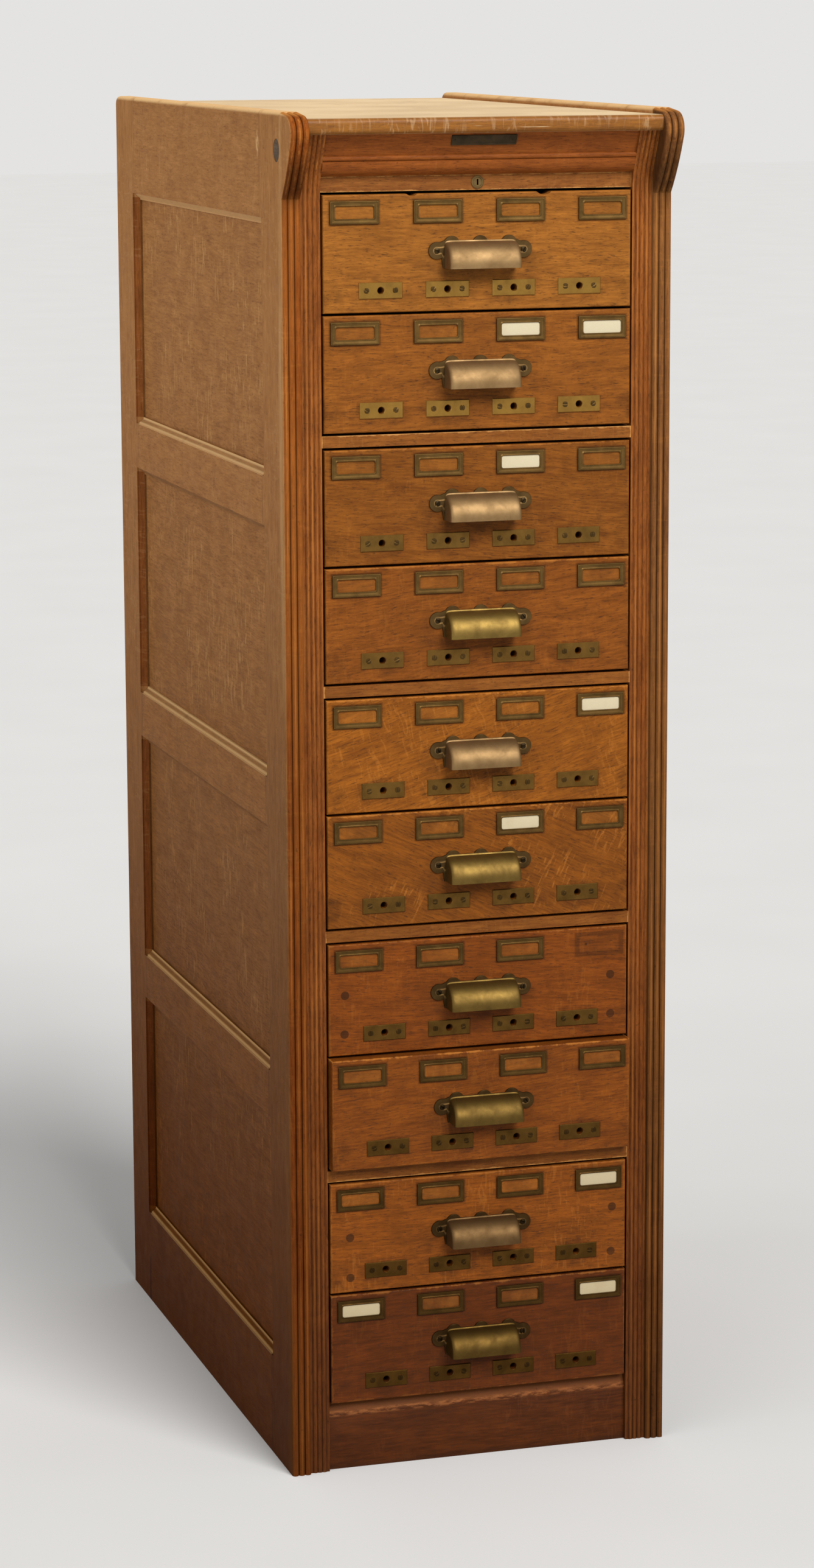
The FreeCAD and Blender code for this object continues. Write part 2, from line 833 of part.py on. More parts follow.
def drawer_front_master():
    """Front board with rounded front edges, rod holes and pilot holes."""
    body = doc.addObject("PartDesign::Body", "front_body")
    half = size("drawer_width") / 2
    high = size("drawer_high")
    sketch = polygon_sketch(body, "XZ_Plane", "front_outline", [
        (-half, 0, "-drawer_width / 2", "0"),
        (half, 0, "drawer_width / 2", "0"),
        (half, high, "drawer_width / 2", "drawer_high"),
        (-half, high, "-drawer_width / 2", "drawer_high"),
    ])
    pad = body.newObject("PartDesign::Pad", "front_pad")
    pad.Profile = sketch
    pad.Reversed = True
    bind(pad, Length="drawer_front")
    doc.recompute()
    rounded = fillet(
        "front_rounded", body, size("front_round"), lambda edge: edge.BoundBox.YMax < 0.01
    )
    rods, plate, ears = screw_places()
    tools = [
        rod(f"rod_hole_{index}", "rod_radius", "drawer_front + 2", (x, -1, z))
        for index, (x, z) in enumerate(rods)
    ]
    tools += [
        rod(f"pilot_{index}", "screw_shank + pilot_clear", "screw_long", (x, -1, z))
        for index, (x, z) in enumerate(plate + ears)
    ]
    return cut("front_drilled", rounded, tools)


def worn_front(front):
    """The top front with two dips worn into its upper edge."""
    dips = []
    for index, (across, wide, deep) in enumerate(WORN_DIPS):
        radius = (wide**2 / 4 + deep**2) / (2 * deep)
        dips.append(
            rod(
                f"worn_dip_{index}", radius, "drawer_front + 2",
                (across, -1, f"drawer_high + {radius - deep}"),
            )
        )
    return cut("front_worn", front, dips)


def drawer_box_master():
    """Sides, back, bottom and three low dividers between the four rows of cards."""
    half = "box_width / 2"
    floor_up = "box_lift + box_rebate"
    inner_long = "box_long - box_wall"
    pieces = [
        board("box_left", (f"-{half}", "drawer_front", "box_lift"), ("box_wall", "box_long", "box_high")),
        board(
            "box_right", (f"{half} - box_wall", "drawer_front", "box_lift"),
            ("box_wall", "box_long", "box_high"),
        ),
        board(
            "box_back", (f"box_wall - {half}", f"drawer_front + {inner_long}", floor_up),
            ("box_width - 2 * box_wall", "box_wall", "box_high - box_rebate"),
        ),
        board(
            "box_bottom", (f"box_wall - {half}", "drawer_front", floor_up),
            ("box_width - 2 * box_wall", inner_long, "box_floor"),
        ),
    ]
    for index, step in enumerate(spread(size("rod_pitch"), 3)):
        pieces.append(
            board(
                f"divider_{index + 1}",
                (f"rod_shift + {step} - divider_thick / 2", "drawer_front", f"{floor_up} + box_floor"),
                ("divider_thick", inner_long, "divider_high"),
            )
        )
    return pieces


def screw(name, across, up, face, long):
    """Round-headed screw: head on the metal, shank back into the wood."""
    head = rod(f"{name}_head", "screw_head", "head_high", (across, f"-{face} - head_high", up))
    shank = rod(f"{name}_shank", "screw_shank", long, (across, f"-{face}", up))
    return fuse(name, [head, shank])


def label_frame(index, step):
    """Thin metal frame with a window and, behind it, a slot for a card, open at the top."""
    left = f"label_shift + {step} - label_wide / 2"
    low = "drawer_high - label_drop - label_high"
    window_up = "(label_high - window_high) / 2"
    blank = board(
        f"label_blank_{index}", (left, "-label_thick", low), ("label_wide", "label_thick", "label_high")
    )
    window = board(
        f"label_window_{index}",
        (f"{left} + (label_wide - window_wide) / 2", "-label_thick - 1", f"{low} + {window_up}"),
        ("window_wide", "label_thick + 2", "window_high"),
    )
    slot = board(
        f"label_slot_{index}",
        (f"{left} + (label_wide - card_wide) / 2 - 0.2", "-slot_deep", f"{low} + 1.8"),
        ("card_wide + 0.4", "slot_deep + 1", "label_high"),
    )
    return cut(f"label_frame_{index}", blank, [window, slot])


def label_card(index, step):
    """Blank card in the slot of a label frame."""
    return board(
        f"label_card_{index}",
        (
            f"label_shift + {step} - card_wide / 2",
            "-(slot_deep + card_thick) / 2",
            "drawer_high - label_drop - label_high + 2",
        ),
        ("card_wide", "card_thick", "card_high"),
    )


def rod_plate(index, across, up):
    """Brass plate round a rod hole."""
    blank = board(
        f"rod_plate_blank_{index}",
        (f"{across} - plate_wide / 2", "-plate_thick", f"{up} - plate_high / 2"),
        ("plate_wide", "plate_thick", "plate_high"),
    )
    tools = [rod(f"plate_hole_{index}", "rod_radius", "plate_thick + 2", (across, "-plate_thick - 1", up))]
    for side in (-1, 1):
        tools.append(
            rod(
                f"plate_screw_hole_{index}_{side + 1}", "screw_shank + pilot_clear", "plate_thick + 2",
                (f"{across} + {side} * plate_screw", "-plate_thick - 1", up),
            )
        )
    return cut(f"rod_plate_{index}", blank, tools)


def hood(name, inset):
    """Solid of the pull's hood, or of its hollow when inset: a quarter round over a straight lip."""
    lip = "(hood_high - hood_reach)"
    low = "drawer_high - pull_drop - hood_high"
    half = f"(hood_wide / 2 - {inset})"
    drum = rod(
        f"{name}_drum", f"hood_reach - {inset}", f"2 * {half}",
        (f"pull_shift - {half}", 0, f"{low} + {lip}"), axis="x",
    )
    quarter = board(
        f"{name}_quarter", (f"pull_shift - {half}", "-hood_reach", f"{low} + {lip}"),
        (f"2 * {half}", "hood_reach", "hood_reach"),
    )
    crown = doc.addObject("Part::Common", f"{name}_crown")
    crown.Base = drum
    crown.Tool = quarter
    skirt = board(
        f"{name}_skirt", (f"pull_shift - {half}", f"{inset} - hood_reach", low),
        (f"2 * {half}", f"hood_reach - {inset}", lip),
    )
    whole = fuse(f"{name}_whole", [crown, skirt])
    doc.recompute()
    ends = (whole.Shape.BoundBox.XMin, whole.Shape.BoundBox.XMax)

    def end_edge(edge):
        box = edge.BoundBox
        at_end = box.XLength < 0.01 and min(abs(box.XMin - end) for end in ends) < 0.01
        return at_end and box.YMin < -1 and box.ZLength > 1

    return fillet(f"{name}_rounded", whole, size("hood_round") - inset, end_edge)


def cup_pull_master():
    """Cup pull: hollow hood, flange with two ears and three bumps, and its two screws."""
    outer = hood("hood_outer", 0)
    inner = hood("hood_inner", size("hood_wall"))
    top = "(drawer_high - pull_drop)"
    flange = [
        board(
            "flange_plate",
            ("pull_shift - ear_screw", "-flange_thick", f"{top} - hood_high"),
            ("2 * ear_screw", "flange_thick", "hood_high + flange_margin"),
        )
    ]
    for side in (-1, 1):
        flange.append(
            rod(
                f"flange_ear_{side + 1}", "ear_radius", "flange_thick",
                (f"pull_shift + {side} * ear_screw", "-flange_thick", f"{top} - ear_drop"),
            )
        )
    for step in (-1, 0, 1):
        flange.append(
            rod(
                f"flange_bump_{step + 1}", "bump_radius", "flange_thick",
                (f"pull_shift + {step} * bump_pitch", "-flange_thick", f"{top} + bump_rise - bump_radius"),
            )
        )
    notches = [
        board(
            f"flange_notch_{side + 1}",
            (
                f"pull_shift + {side} * (ear_screw + hood_wide / 2 + flange_margin) / 2 - 8",
                "-flange_thick - 1",
                f"{top} - hood_high - 1",
            ),
            (16, "flange_thick + 2", "hood_high - ear_drop - ear_radius + 3"),
        )
        for side in (-1, 1)
    ]
    ear_holes = [
        rod(
            f"ear_hole_{side + 1}", "screw_shank + pilot_clear", "flange_thick + 2",
            (f"pull_shift + {side} * ear_screw", "-flange_thick - 1", f"{top} - ear_drop"),
        )
        for side in (-1, 1)
    ]
    plate = cut("flange_cut", fuse("flange_whole", flange), notches + ear_holes)
    pull = cut("cup_pull", fuse("pull_whole", [plate, outer]), [inner])
    screws = [
        screw(
            f"ear_screw_{side + 1}", f"pull_shift + {side} * ear_screw", f"{top} - ear_drop",
            "flange_thick", "flange_thick + screw_long - 2",
        )
        for side in (-1, 1)
    ]
    return [pull] + screws


def drawers():
    """Ten drawers: front, box, pull, and its small fittings."""
    front = drawer_front_master()
    worn = worn_front(front)
    box = drawer_box_master()
    pull = cup_pull_master()
    steps = spread(size("label_pitch"))
    frames = [label_frame(index, step) for index, step in enumerate(steps, start=1)]
    cards = [label_card(index, step) for index, step in enumerate(steps, start=1)]
    rods, plate_screws, _ = screw_places()
    plates = [rod_plate(index, across, up) for index, (across, up) in enumerate(rods, start=1)]
    screws = [
        screw(f"plate_screw_{index}", across, up, "plate_thick", "plate_thick + screw_long - 2")
        for index, (across, up) in enumerate(plate_screws)
    ]
    for number in DRAWERS:
        kept = [
            frame for index, frame in enumerate(frames, start=1) if index not in LOST_FRAMES.get(number, ())
        ]
        kept += [cards[index - 1] for index in CARDS.get(number, ())]
        made = (
            node(f"drawer_{number:02d}_front", [worn if number == 1 else front]),
            node(f"drawer_{number:02d}_box", box),
            node(f"drawer_{number:02d}_pull", pull),
            node(f"drawer_{number:02d}_fittings", kept + plates + screws),
        )
        out = "ajar" if number == AJAR_DRAWER else "0"
        for part in made:
            place(part, 0, f"-front_plane - {out}", drawer_height(number))


def write_parts():
    """Stop on any failed object or bad shape, then write one file per sub-part."""
    doc.recompute()
    for thing in doc.Objects:
        if "Invalid" in thing.State or "Error" in thing.State:
            raise RuntimeError(f"{thing.Label}: {thing.State}")
    for part in nodes:
        if part.Shape.isNull() or not part.Shape.isValid():
            raise RuntimeError(f"{part.Label} has no valid shape")
        if not part.Shape.Solids:
            raise RuntimeError(f"{part.Label} holds no solid")
    os.makedirs("parts", exist_ok=True)
    for part in nodes:
        part.Shape.exportStep(f"parts/{part.Label}.step")
    whole = Part.makeCompound([part.Shape for part in nodes]).BoundBox
    print(f"{len(nodes)} nodes, box {whole.XMin:.2f} {whole.XMax:.2f} {whole.YMin:.2f} {whole.YMax:.2f} "
          f"{whole.ZMin:.2f} {whole.ZMax:.2f}")


gables()
side_panels(-1, "left_side_panels")
side_panels(1, "right_side_panels")
pilasters()
top_board()
cornice()
lock_rail()
plinth()
drawer_rails()
drawer_runners()
bottom_board()
carcass_back()
lock()
name_plate()
drawers()
write_parts()
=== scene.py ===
"""Looks of the oak card cabinet: its boards, brass fittings, cards and studio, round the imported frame.

Metres throughout.  +Z is up, the fronts face -Y and +X is to the right seen from the front.
"""

import json
import math

import bmesh
import bpy
import numpy as np
from mathutils import Euler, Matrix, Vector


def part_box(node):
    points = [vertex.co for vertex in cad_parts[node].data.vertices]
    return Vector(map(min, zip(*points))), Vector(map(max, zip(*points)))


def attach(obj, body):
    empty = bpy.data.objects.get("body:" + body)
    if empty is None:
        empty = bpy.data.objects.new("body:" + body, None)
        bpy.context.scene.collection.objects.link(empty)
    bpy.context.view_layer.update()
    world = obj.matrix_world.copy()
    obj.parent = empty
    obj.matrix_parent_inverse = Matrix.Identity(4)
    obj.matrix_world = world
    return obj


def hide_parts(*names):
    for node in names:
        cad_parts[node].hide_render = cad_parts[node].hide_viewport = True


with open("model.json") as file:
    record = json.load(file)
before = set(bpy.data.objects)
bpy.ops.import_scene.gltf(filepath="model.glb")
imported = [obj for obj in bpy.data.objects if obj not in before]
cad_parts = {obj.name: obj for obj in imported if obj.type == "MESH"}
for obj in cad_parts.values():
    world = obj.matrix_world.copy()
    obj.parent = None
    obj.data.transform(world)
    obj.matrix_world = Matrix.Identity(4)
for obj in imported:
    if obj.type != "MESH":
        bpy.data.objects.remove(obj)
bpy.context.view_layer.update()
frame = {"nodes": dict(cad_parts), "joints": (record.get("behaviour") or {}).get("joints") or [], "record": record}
MM = 0.001

# ---- sizes of the small fittings -----------------------------------------------------------------

LABEL_MIDDLE = 0.8 * MM                         # across, the middle of the four label frames
LABEL_PITCH = 82.7 * MM
LABEL_SIZE = (48.5 * MM, 22.0 * MM)
LABEL_DROP = 5.6 * MM + LABEL_SIZE[1] / 2       # from a front's top edge to the frames' middle
CARD_SIZE = (43.0 * MM, 19.7 * MM)
CARDS = {2: (3, 4), 3: (3,), 5: (4,), 6: (3,), 9: (4,), 10: (1, 4)}
LOST_FRAMES = {7: (4,)}
PLATE_SIZE = (43.0 * MM, 15.5 * MM)
PLATE_THICK = 1.2 * MM
PLATE_SCREW = 14.3 * MM                         # from a rod hole to each screw beside it
SCREW_RADIUS = 3.0 * MM
PULL_DROP = 45.5 * MM                           # from a front's top edge to the top of its cup
CUP_WIDE, CUP_REACH, CUP_HIGH = 72.0 * MM, 21.5 * MM, 25.0 * MM
CUP_WALL = 1.5 * MM
FLANGE_THICK = 1.5 * MM
EAR_SCREW = 43.5 * MM                           # from the middle of a pull to each of its screws
EAR_DROP = 8.5 * MM                             # from the top of the cup down to those screws


# ---- surfaces ------------------------------------------------------------------------------------


def lattice(rows, columns, wrap_rows=False, wrap_columns=False):
    """Faces of a grid: each joins point (i, j) to (i+1, j), (i+1, j+1) and (i, j+1)."""
    i = np.arange(rows if wrap_rows else rows - 1)
    j = np.arange(columns if wrap_columns else columns - 1)
    i, j = np.meshgrid(i, j, indexing="ij")
    below, beside = (i + 1) % rows, (j + 1) % columns
    corners = (i * columns + j, below * columns + j, below * columns + beside, i * columns + beside)
    return np.stack(corners, -1).reshape(-1, 4)


def piece(name, surfaces, material, body, replaces=(), sharp=35.0):
    """One object from (points, faces) surfaces, its seams merged, facing outwards, riding on a body."""
    points, faces, count = [], [], 0
    for surface_points, surface_faces in surfaces:
        flat = surface_points.reshape(-1, 3)
        points.append(flat)
        faces.append(surface_faces + count)
        count += len(flat)
    mesh = bpy.data.meshes.new(name)
    mesh.from_pydata(np.concatenate(points).tolist(), [], np.concatenate(faces).tolist())
    shape = bmesh.new()
    shape.from_mesh(mesh)
    bmesh.ops.remove_doubles(shape, verts=shape.verts, dist=1e-6)
    bmesh.ops.recalc_face_normals(shape, faces=shape.faces)
    shape.to_mesh(mesh)
    shape.free()
    mesh.shade_smooth()
    mesh.set_sharp_from_angle(angle=math.radians(sharp))
    mesh.materials.append(material)
    return carry(name, mesh, body, replaces)


def carry(name, mesh, body, replaces):
    """An object for a mesh, riding on its body."""
    thing = bpy.data.objects.new(name, mesh)
    bpy.context.scene.collection.objects.link(thing)
    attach(thing, body)
    if replaces:
        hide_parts(*replaces)
    return thing


def finished(node, body, material, sharp=28.0):
    """A CAD node's own surface, merged and smooth where it is round.

    Faces in one plane are joined first.  An edge stays sharp where it turns more than the given
    angle, and where a broad flat meets the narrow strips of a rounded edge, so that flats stay flat.
    """
    flat, broad = 0.5, 7          # degrees, and times the area of a strip
    mesh = frame["nodes"][node].data.copy()
    shape = bmesh.new()
    shape.from_mesh(mesh)
    bmesh.ops.remove_doubles(shape, verts=shape.verts, dist=1e-6)
    bmesh.ops.dissolve_limit(shape, angle_limit=math.radians(0.4), verts=shape.verts, edges=shape.edges)
    for face in shape.faces:
        face.smooth = True
    for edge in shape.edges:
        if len(edge.link_faces) == 2:
            small, large = sorted(face.calc_area() for face in edge.link_faces)
            turn = math.degrees(edge.calc_face_angle(0.0))
            edge.smooth = turn < sharp and (turn < flat or large < broad * small)
    shape.to_mesh(mesh)
    shape.free()
    mesh.materials.clear()
    mesh.materials.append(material)
    return carry(f"{node}_finished", mesh, body, (node,))


def soft_block(low, high, radius, steps=2):
    """A block with rounded edges: an inner box grown by a ball.

    Points spread over a box are pulled back to the inner box, and pushed out from it by the radius
    along the line between the two.
    """
    low, high = np.asarray(low, float), np.asarray(high, float)
    ease = radius * (1 - np.tan(np.linspace(math.pi / 4, 0, steps + 1)))
    axes = [np.concatenate([low[k] + ease, (high[k] - ease)[::-1]]) for k in range(3)]
    surfaces = []
    for axis in range(3):
        first, second = [k for k in range(3) if k != axis]
        a, b = np.meshgrid(axes[first], axes[second], indexing="ij")
        for end in (low[axis], high[axis]):
            points = np.empty(a.shape + (3,))
            points[..., first], points[..., second], points[..., axis] = a, b, end
            inner = np.clip(points, low + radius, high - radius)
            outward = points - inner
            outward /= np.linalg.norm(outward, axis=-1, keepdims=True)
            surfaces.append((inner + radius * outward, lattice(*a.shape)))
    return surfaces


def turned(profile, centre, around=40):
    """A profile of (radius, height) pairs turned about a line along Y; height stands towards -Y."""
    radius, height = np.asarray(profile, float).T
    angle = np.linspace(0, 2 * math.pi, around, endpoint=False)[:, None]
    x = centre[0] + radius * np.cos(angle)
    y = centre[1] - height + 0 * angle
    z = centre[2] + radius * np.sin(angle)
    return np.stack([x, y, z], -1), lattice(around, len(profile), wrap_rows=True)


def framed(centre, size, corner, profile, lift_top=0.0, across=5):
    """A moulding mitred round a rectangle: its (inset, height) profile carried round the outline.

    Each corner is an arc whose radius goes from the outer value to the inner one with the inset.  The
    profile is a closed loop, so the result is a ring; lift_top raises the underside of the upper rail
    to leave a slot.
    """
    inset, height = np.asarray(profile, float).T
    radius = corner[0] + (corner[1] - corner[0]) * inset / inset.max()
    upper_rail = size[1] / 2 - 2.8 * MM
    rows = []
    for turn, (side_x, side_z) in enumerate(((1, 1), (-1, 1), (-1, -1), (1, -1))):
        for angle in np.linspace(0, math.pi / 2, across) + turn * math.pi / 2:
            x = side_x * (size[0] / 2 - inset - radius) + radius * math.cos(angle)
            z = side_z * (size[1] / 2 - inset - radius) + radius * math.sin(angle)
            raised = np.where(z > upper_rail, np.maximum(height, lift_top), height)
            rows.append(np.stack([centre[0] + x, centre[1] - raised, centre[2] + z], -1))
    points = np.stack(rows)
    return points, lattice(len(rows), len(profile), wrap_rows=True, wrap_columns=True)


def holed_plate(centre, size, hole, thick, ease=0.5 * MM):
    """A rectangular plate round a hole: rays from the hole's circle to the plate's outline."""
    half_x, half_z = size[0] / 2, size[1] / 2
    corner = math.atan2(half_z, half_x)
    knots = np.array([-corner, corner, math.pi - corner, math.pi + corner, 2 * math.pi - corner])
    angle = np.concatenate([
        np.linspace(a, b, 12, endpoint=False) for a, b in zip(knots[:-1], knots[1:])
    ])
    ray_x, ray_z = np.cos(angle), np.sin(angle)
    reach = 1 / np.maximum(np.abs(ray_x) / half_x, np.abs(ray_z) / half_z)
    outline_x, outline_z = ray_x * reach, ray_z * reach
    rings = []
    for radius, height in ((hole, 0), (hole, thick - ease), (hole + ease, thick)):
        rings.append((ray_x * radius, ray_z * radius, height))
    for inset, height in ((ease, thick), (0.0, thick - ease), (0.0, 0)):
        rings.append((outline_x * (1 - inset / half_x), outline_z * (1 - inset / half_z), height))
    points = np.stack([
        np.stack([centre[0] + x, np.full_like(x, centre[1] - height), centre[2] + z], -1)
        for x, z, height in rings
    ])
    return points, lattice(len(rings), len(angle), wrap_rows=True, wrap_columns=True)


def screw_head(centre, radius, rise, turn, cells=16):
    """A domed, slotted screw head over a flat base.

    A square grid is mapped to a disc; the dome falls with the square of the distance from the
    middle, and points near the slot's line drop by the slot's depth.
    """
    fall, slot_deep, slot_half = 0.55, 0.75, 0.14       # shares of the rise, the rise and the radius
    side = np.linspace(-1, 1, cells + 1)
    a, b = np.meshgrid(side, side, indexing="ij")
    x = a * np.sqrt(1 - b * b / 2)
    z = b * np.sqrt(1 - a * a / 2)
    out = np.hypot(x, z)
    across = np.abs(x * math.sin(turn) - z * math.cos(turn))
    height = rise * (1 - fall * out**2) - np.where(across < slot_half, slot_deep * rise, 0.0)
    rim, foot = out > 0.999, -0.4 * MM
    surfaces = []
    for level in (np.where(rim, foot, height), np.full_like(height, foot)):
        points = np.stack([centre[0] + radius * x, centre[1] - level, centre[2] + radius * z], -1)
        surfaces.append((points, lattice(cells + 1, cells + 1)))
    return surfaces


def hood(centre, width, reach, high, wall):
    """The cup of a pull: a low bead, a quarter round and a straight lip, blunt at both ends.

    Along the pull, half the width times the eighth root of an angle's sine is the place across and
    the reach times the eighth root of its cosine is the section's radius.  The hollow is the same
    surface again, smaller by the wall's thickness.
    """
    blunt = 1 / 8
    turn = np.linspace(0, math.pi / 2, 17)
    share = np.concatenate([-np.sin(turn[:0:-1]) ** blunt, np.sin(turn) ** blunt])
    swell = np.abs(np.cos(np.concatenate([turn[:0:-1], turn]))) ** blunt
    swell[[0, -1]] = 0
    angle = np.linspace(math.pi / 2, 0, 15)
    lip = high - reach
    bead_out, bead_up = [0.0, 0.09, 0.115], [1.045, 1.045, 0.993]      # shares of the radius
    out = np.concatenate([bead_out, np.cos(angle[2:]), [1.0, 1.0]])
    up = np.concatenate([bead_up, np.sin(angle[2:]), [0.0, 0.0]])
    drop = np.concatenate([np.zeros(len(up) - 2), [lip * 0.6, lip]])
    shells = []
    for inset in (0.0, wall):
        radius = (reach - inset) * swell[:, None]
        x = centre[0] + (width / 2 - inset) * share[:, None] + 0 * out
        y = centre[1] - radius * out
        z = centre[2] - high + lip + radius * up - drop
        shells.append(np.stack([x, y, z], -1))
    points = np.concatenate([shells[0], shells[1][:, ::-1]], axis=1)
    rows, columns = points.shape[:2]
    ends = []
    for row in (0, rows - 1):
        j = np.arange(columns // 2 - 1)
        ends.append(row * columns + np.stack([j, j + 1, columns - 2 - j, columns - 1 - j], -1))
    return points, np.concatenate([lattice(rows, columns, wrap_columns=True)] + ends)


def flange(centre, thick, high):
    """The pull's back plate: an outline with three scallops above and an ear at each end.

    The outline's upper and lower edges are functions of the place across.  An ear is a circle about
    its screw; a scallop is one less the squared distance from its middle, to the power 0.7.  The face
    falls from a line through the ears to an eased rim.
    """
    ear_radius = 8.3 * MM
    scallop_pitch, scallop_half, scallop_high = 28.6 * MM, 7.0 * MM, 4.3 * MM
    brim = 1.0 * MM                                     # the plate's rise over the cup between scallops
    shoulder_from, shoulder_wide = 36.5 * MM, 6.0 * MM
    notch_from, notch_wide = 37.6 * MM, 1.2 * MM
    x = (EAR_SCREW + ear_radius) * np.sin(np.linspace(-math.pi / 2, math.pi / 2, 161))
    beyond = np.clip(np.abs(x) - EAR_SCREW, -ear_radius, ear_radius)
    round_ear = np.sqrt(np.maximum(ear_radius**2 - beyond**2, 0))
    scallops = np.zeros_like(x)
    for step in (-1, 0, 1):
        near = np.clip(np.abs(x - step * scallop_pitch) / scallop_half, 0, 1)
        scallops = np.maximum(scallops, scallop_high * (1 - near * near) ** 0.7)
    shoulder = np.clip((np.abs(x) - shoulder_from) / shoulder_wide, 0, 1)
    shoulder = shoulder * shoulder * (3 - 2 * shoulder)
    upper = (brim + scallops) * (1 - shoulder) + (round_ear - EAR_DROP) * shoulder
    notch = np.clip((np.abs(x) - notch_from) / notch_wide, 0, 1)
    lower = -high * (1 - notch) - (EAR_DROP + round_ear) * notch
    line = np.full_like(x, -EAR_DROP)
    spine = np.clip(x, -EAR_SCREW, EAR_SCREW)
    loop_x = np.concatenate([x, x[::-1]])
    loop_z = np.concatenate([upper, lower[::-1]])
    inner_x = np.concatenate([spine, spine[::-1]])
    inner_z = np.concatenate([line, line[::-1]])
    rows = []
    for share, height in ((0, 0), (0, 0.65 * thick), (0.04, thick), (0.5, thick), (1, thick), (1, 0)):
        rows.append(
            np.stack([
                centre[0] + loop_x * (1 - share) + inner_x * share,
                np.full_like(loop_x, centre[1] - height),
                centre[2] + loop_z * (1 - share) + inner_z * share,
            ], -1)
        )
    return np.stack(rows), lattice(len(rows), len(loop_x), wrap_rows=True, wrap_columns=True)


# ---- materials -----------------------------------------------------------------------------------


def tint(red, green, blue):
    """A paint-chart colour, 0 to 255, as linear light."""
    chart = np.array([red, green, blue]) / 255
    linear = np.where(chart <= 0.04045, chart / 12.92, ((chart + 0.055) / 1.055) ** 2.4)
    return (*linear.tolist(), 1.0)


class Bench:
    """Adds nodes to one tree; an input is a value or another node's output."""

    def __init__(self, tree):
        self.tree = tree

    def feed(self, sockets, values):
        """Give each named socket its value, or a link from another node's output."""
        for name, value in values.items():
            if isinstance(value, bpy.types.NodeSocket):
                self.tree.links.new(value, sockets[name])
            else:
                sockets[name].default_value = value

    def add(self, kind, inputs=None, **settings):
        node = self.tree.nodes.new(kind)
        for name, value in settings.items():
            setattr(node, name, value)
        self.feed(node.inputs, inputs or {})
        return node

    def maths(self, operation, first, second=0.0, third=0.0, clamp=False):
        inputs = {0: first, 1: second, 2: third}
        return self.add("ShaderNodeMath", inputs, operation=operation, use_clamp=clamp).outputs[0]

    def times(self, first, second):
        return self.maths("MULTIPLY", first, second)

    def less(self, first, second):
        return self.maths("SUBTRACT", first, second)

    def apart(self, first, second):
        return self.maths("ABSOLUTE", self.less(first, second))

    def most(self, first, *others):
        for other in others:
            first = self.maths("MAXIMUM", first, other)
        return first

    def between(self, value, low, high):
        return self.times(self.maths("GREATER_THAN", value, low), self.maths("LESS_THAN", value, high))

    def oval(self, across, half_wide, up, half_high):
        """Distance from an oval's middle, 1 on its outline; across and up are taken from that middle."""
        across, up = self.maths("DIVIDE", across, half_wide), self.maths("DIVIDE", up, half_high)
        return self.maths("SQRT", self.maths("MULTIPLY_ADD", across, across, self.times(up, up)))

    def vector(self, operation, first, second=(0, 0, 0)):
        return self.add("ShaderNodeVectorMath", {0: first, 1: second}, operation=operation).outputs[0]

    def rotated(self, vector, rotation):
        return self.add("ShaderNodeMapping", {"Vector": vector, "Rotation": rotation}).outputs[0]

    def split(self, vector):
        return self.add("ShaderNodeSeparateXYZ", {0: vector}).outputs

    def ramp(self, value, low, high, to_low=0.0, to_high=1.0):
        inputs = {"Value": value, "From Min": low, "From Max": high, "To Min": to_low, "To Max": to_high}
        return self.add("ShaderNodeMapRange", inputs, interpolation_type="SMOOTHSTEP").outputs[0]

    def noise(self, vector, scale, detail=3.0, roughness=0.55, distortion=0.0):
        inputs = {
            "Vector": vector, "Scale": scale, "Detail": detail,
            "Roughness": roughness, "Distortion": distortion,
        }
        return self.add("ShaderNodeTexNoise", inputs).outputs["Fac"]

    def drawn_out(self, vector, scales, detail=3.0, roughness=0.55, distortion=0.0):
        """Noise with its own scale along each axis."""
        return self.noise(self.vector("MULTIPLY", vector, scales), 1.0, detail, roughness, distortion)

    def blend(self, share, first, second, kind="MIX"):
        inputs = {0: share, 6: first, 7: second}
        return self.add("ShaderNodeMix", inputs, data_type="RGBA", blend_type=kind).outputs[2]

    def group(self, tree, inputs):
        return self.add("ShaderNodeGroup", inputs, node_tree=tree).outputs


def shared(name, inputs, outputs):
    """An empty node group; inputs are (name, kind, value) and outputs (name, kind)."""
    tree = bpy.data.node_groups.new(name, "ShaderNodeTree")
    kinds = {"value": "NodeSocketFloat", "vector": "NodeSocketVector", "colour": "NodeSocketColor"}
    for label, kind, value in inputs:
        socket = tree.interface.new_socket(name=label, in_out="INPUT", socket_type=kinds[kind])
        socket.default_value = value
    for label, kind in outputs:
        tree.interface.new_socket(name=label, in_out="OUTPUT", socket_type=kinds[kind])
    bench = Bench(tree)
    given = bench.add("NodeGroupInput").outputs
    result = bench.add("NodeGroupOutput")
    return tree, bench, given, result.inputs


def painted_floor_shade():
    """A painted shade: a colour multiplied by a shade from a height down towards the floor, for light that falls
    off there.
    """
    tree, bench, given, result = shared(
        "floor shade",
        [
            ("Vector", "vector", (0, 0, 0)), ("Color", "colour", (0.5, 0.5, 0.5, 1)), ("Top", "value", 1.15),
            ("Share", "value", 1.0), ("Shade", "colour", (0.5, 0.5, 0.5, 1)),
        ],
        [("Color", "colour")],
    )
    low = bench.ramp(bench.split(given["Vector"])[2], given["Top"], 0.0, 0.0, given["Share"])
    bench.feed(result, {"Color": bench.blend(low, given["Color"], given["Shade"], "MULTIPLY")})
    return tree


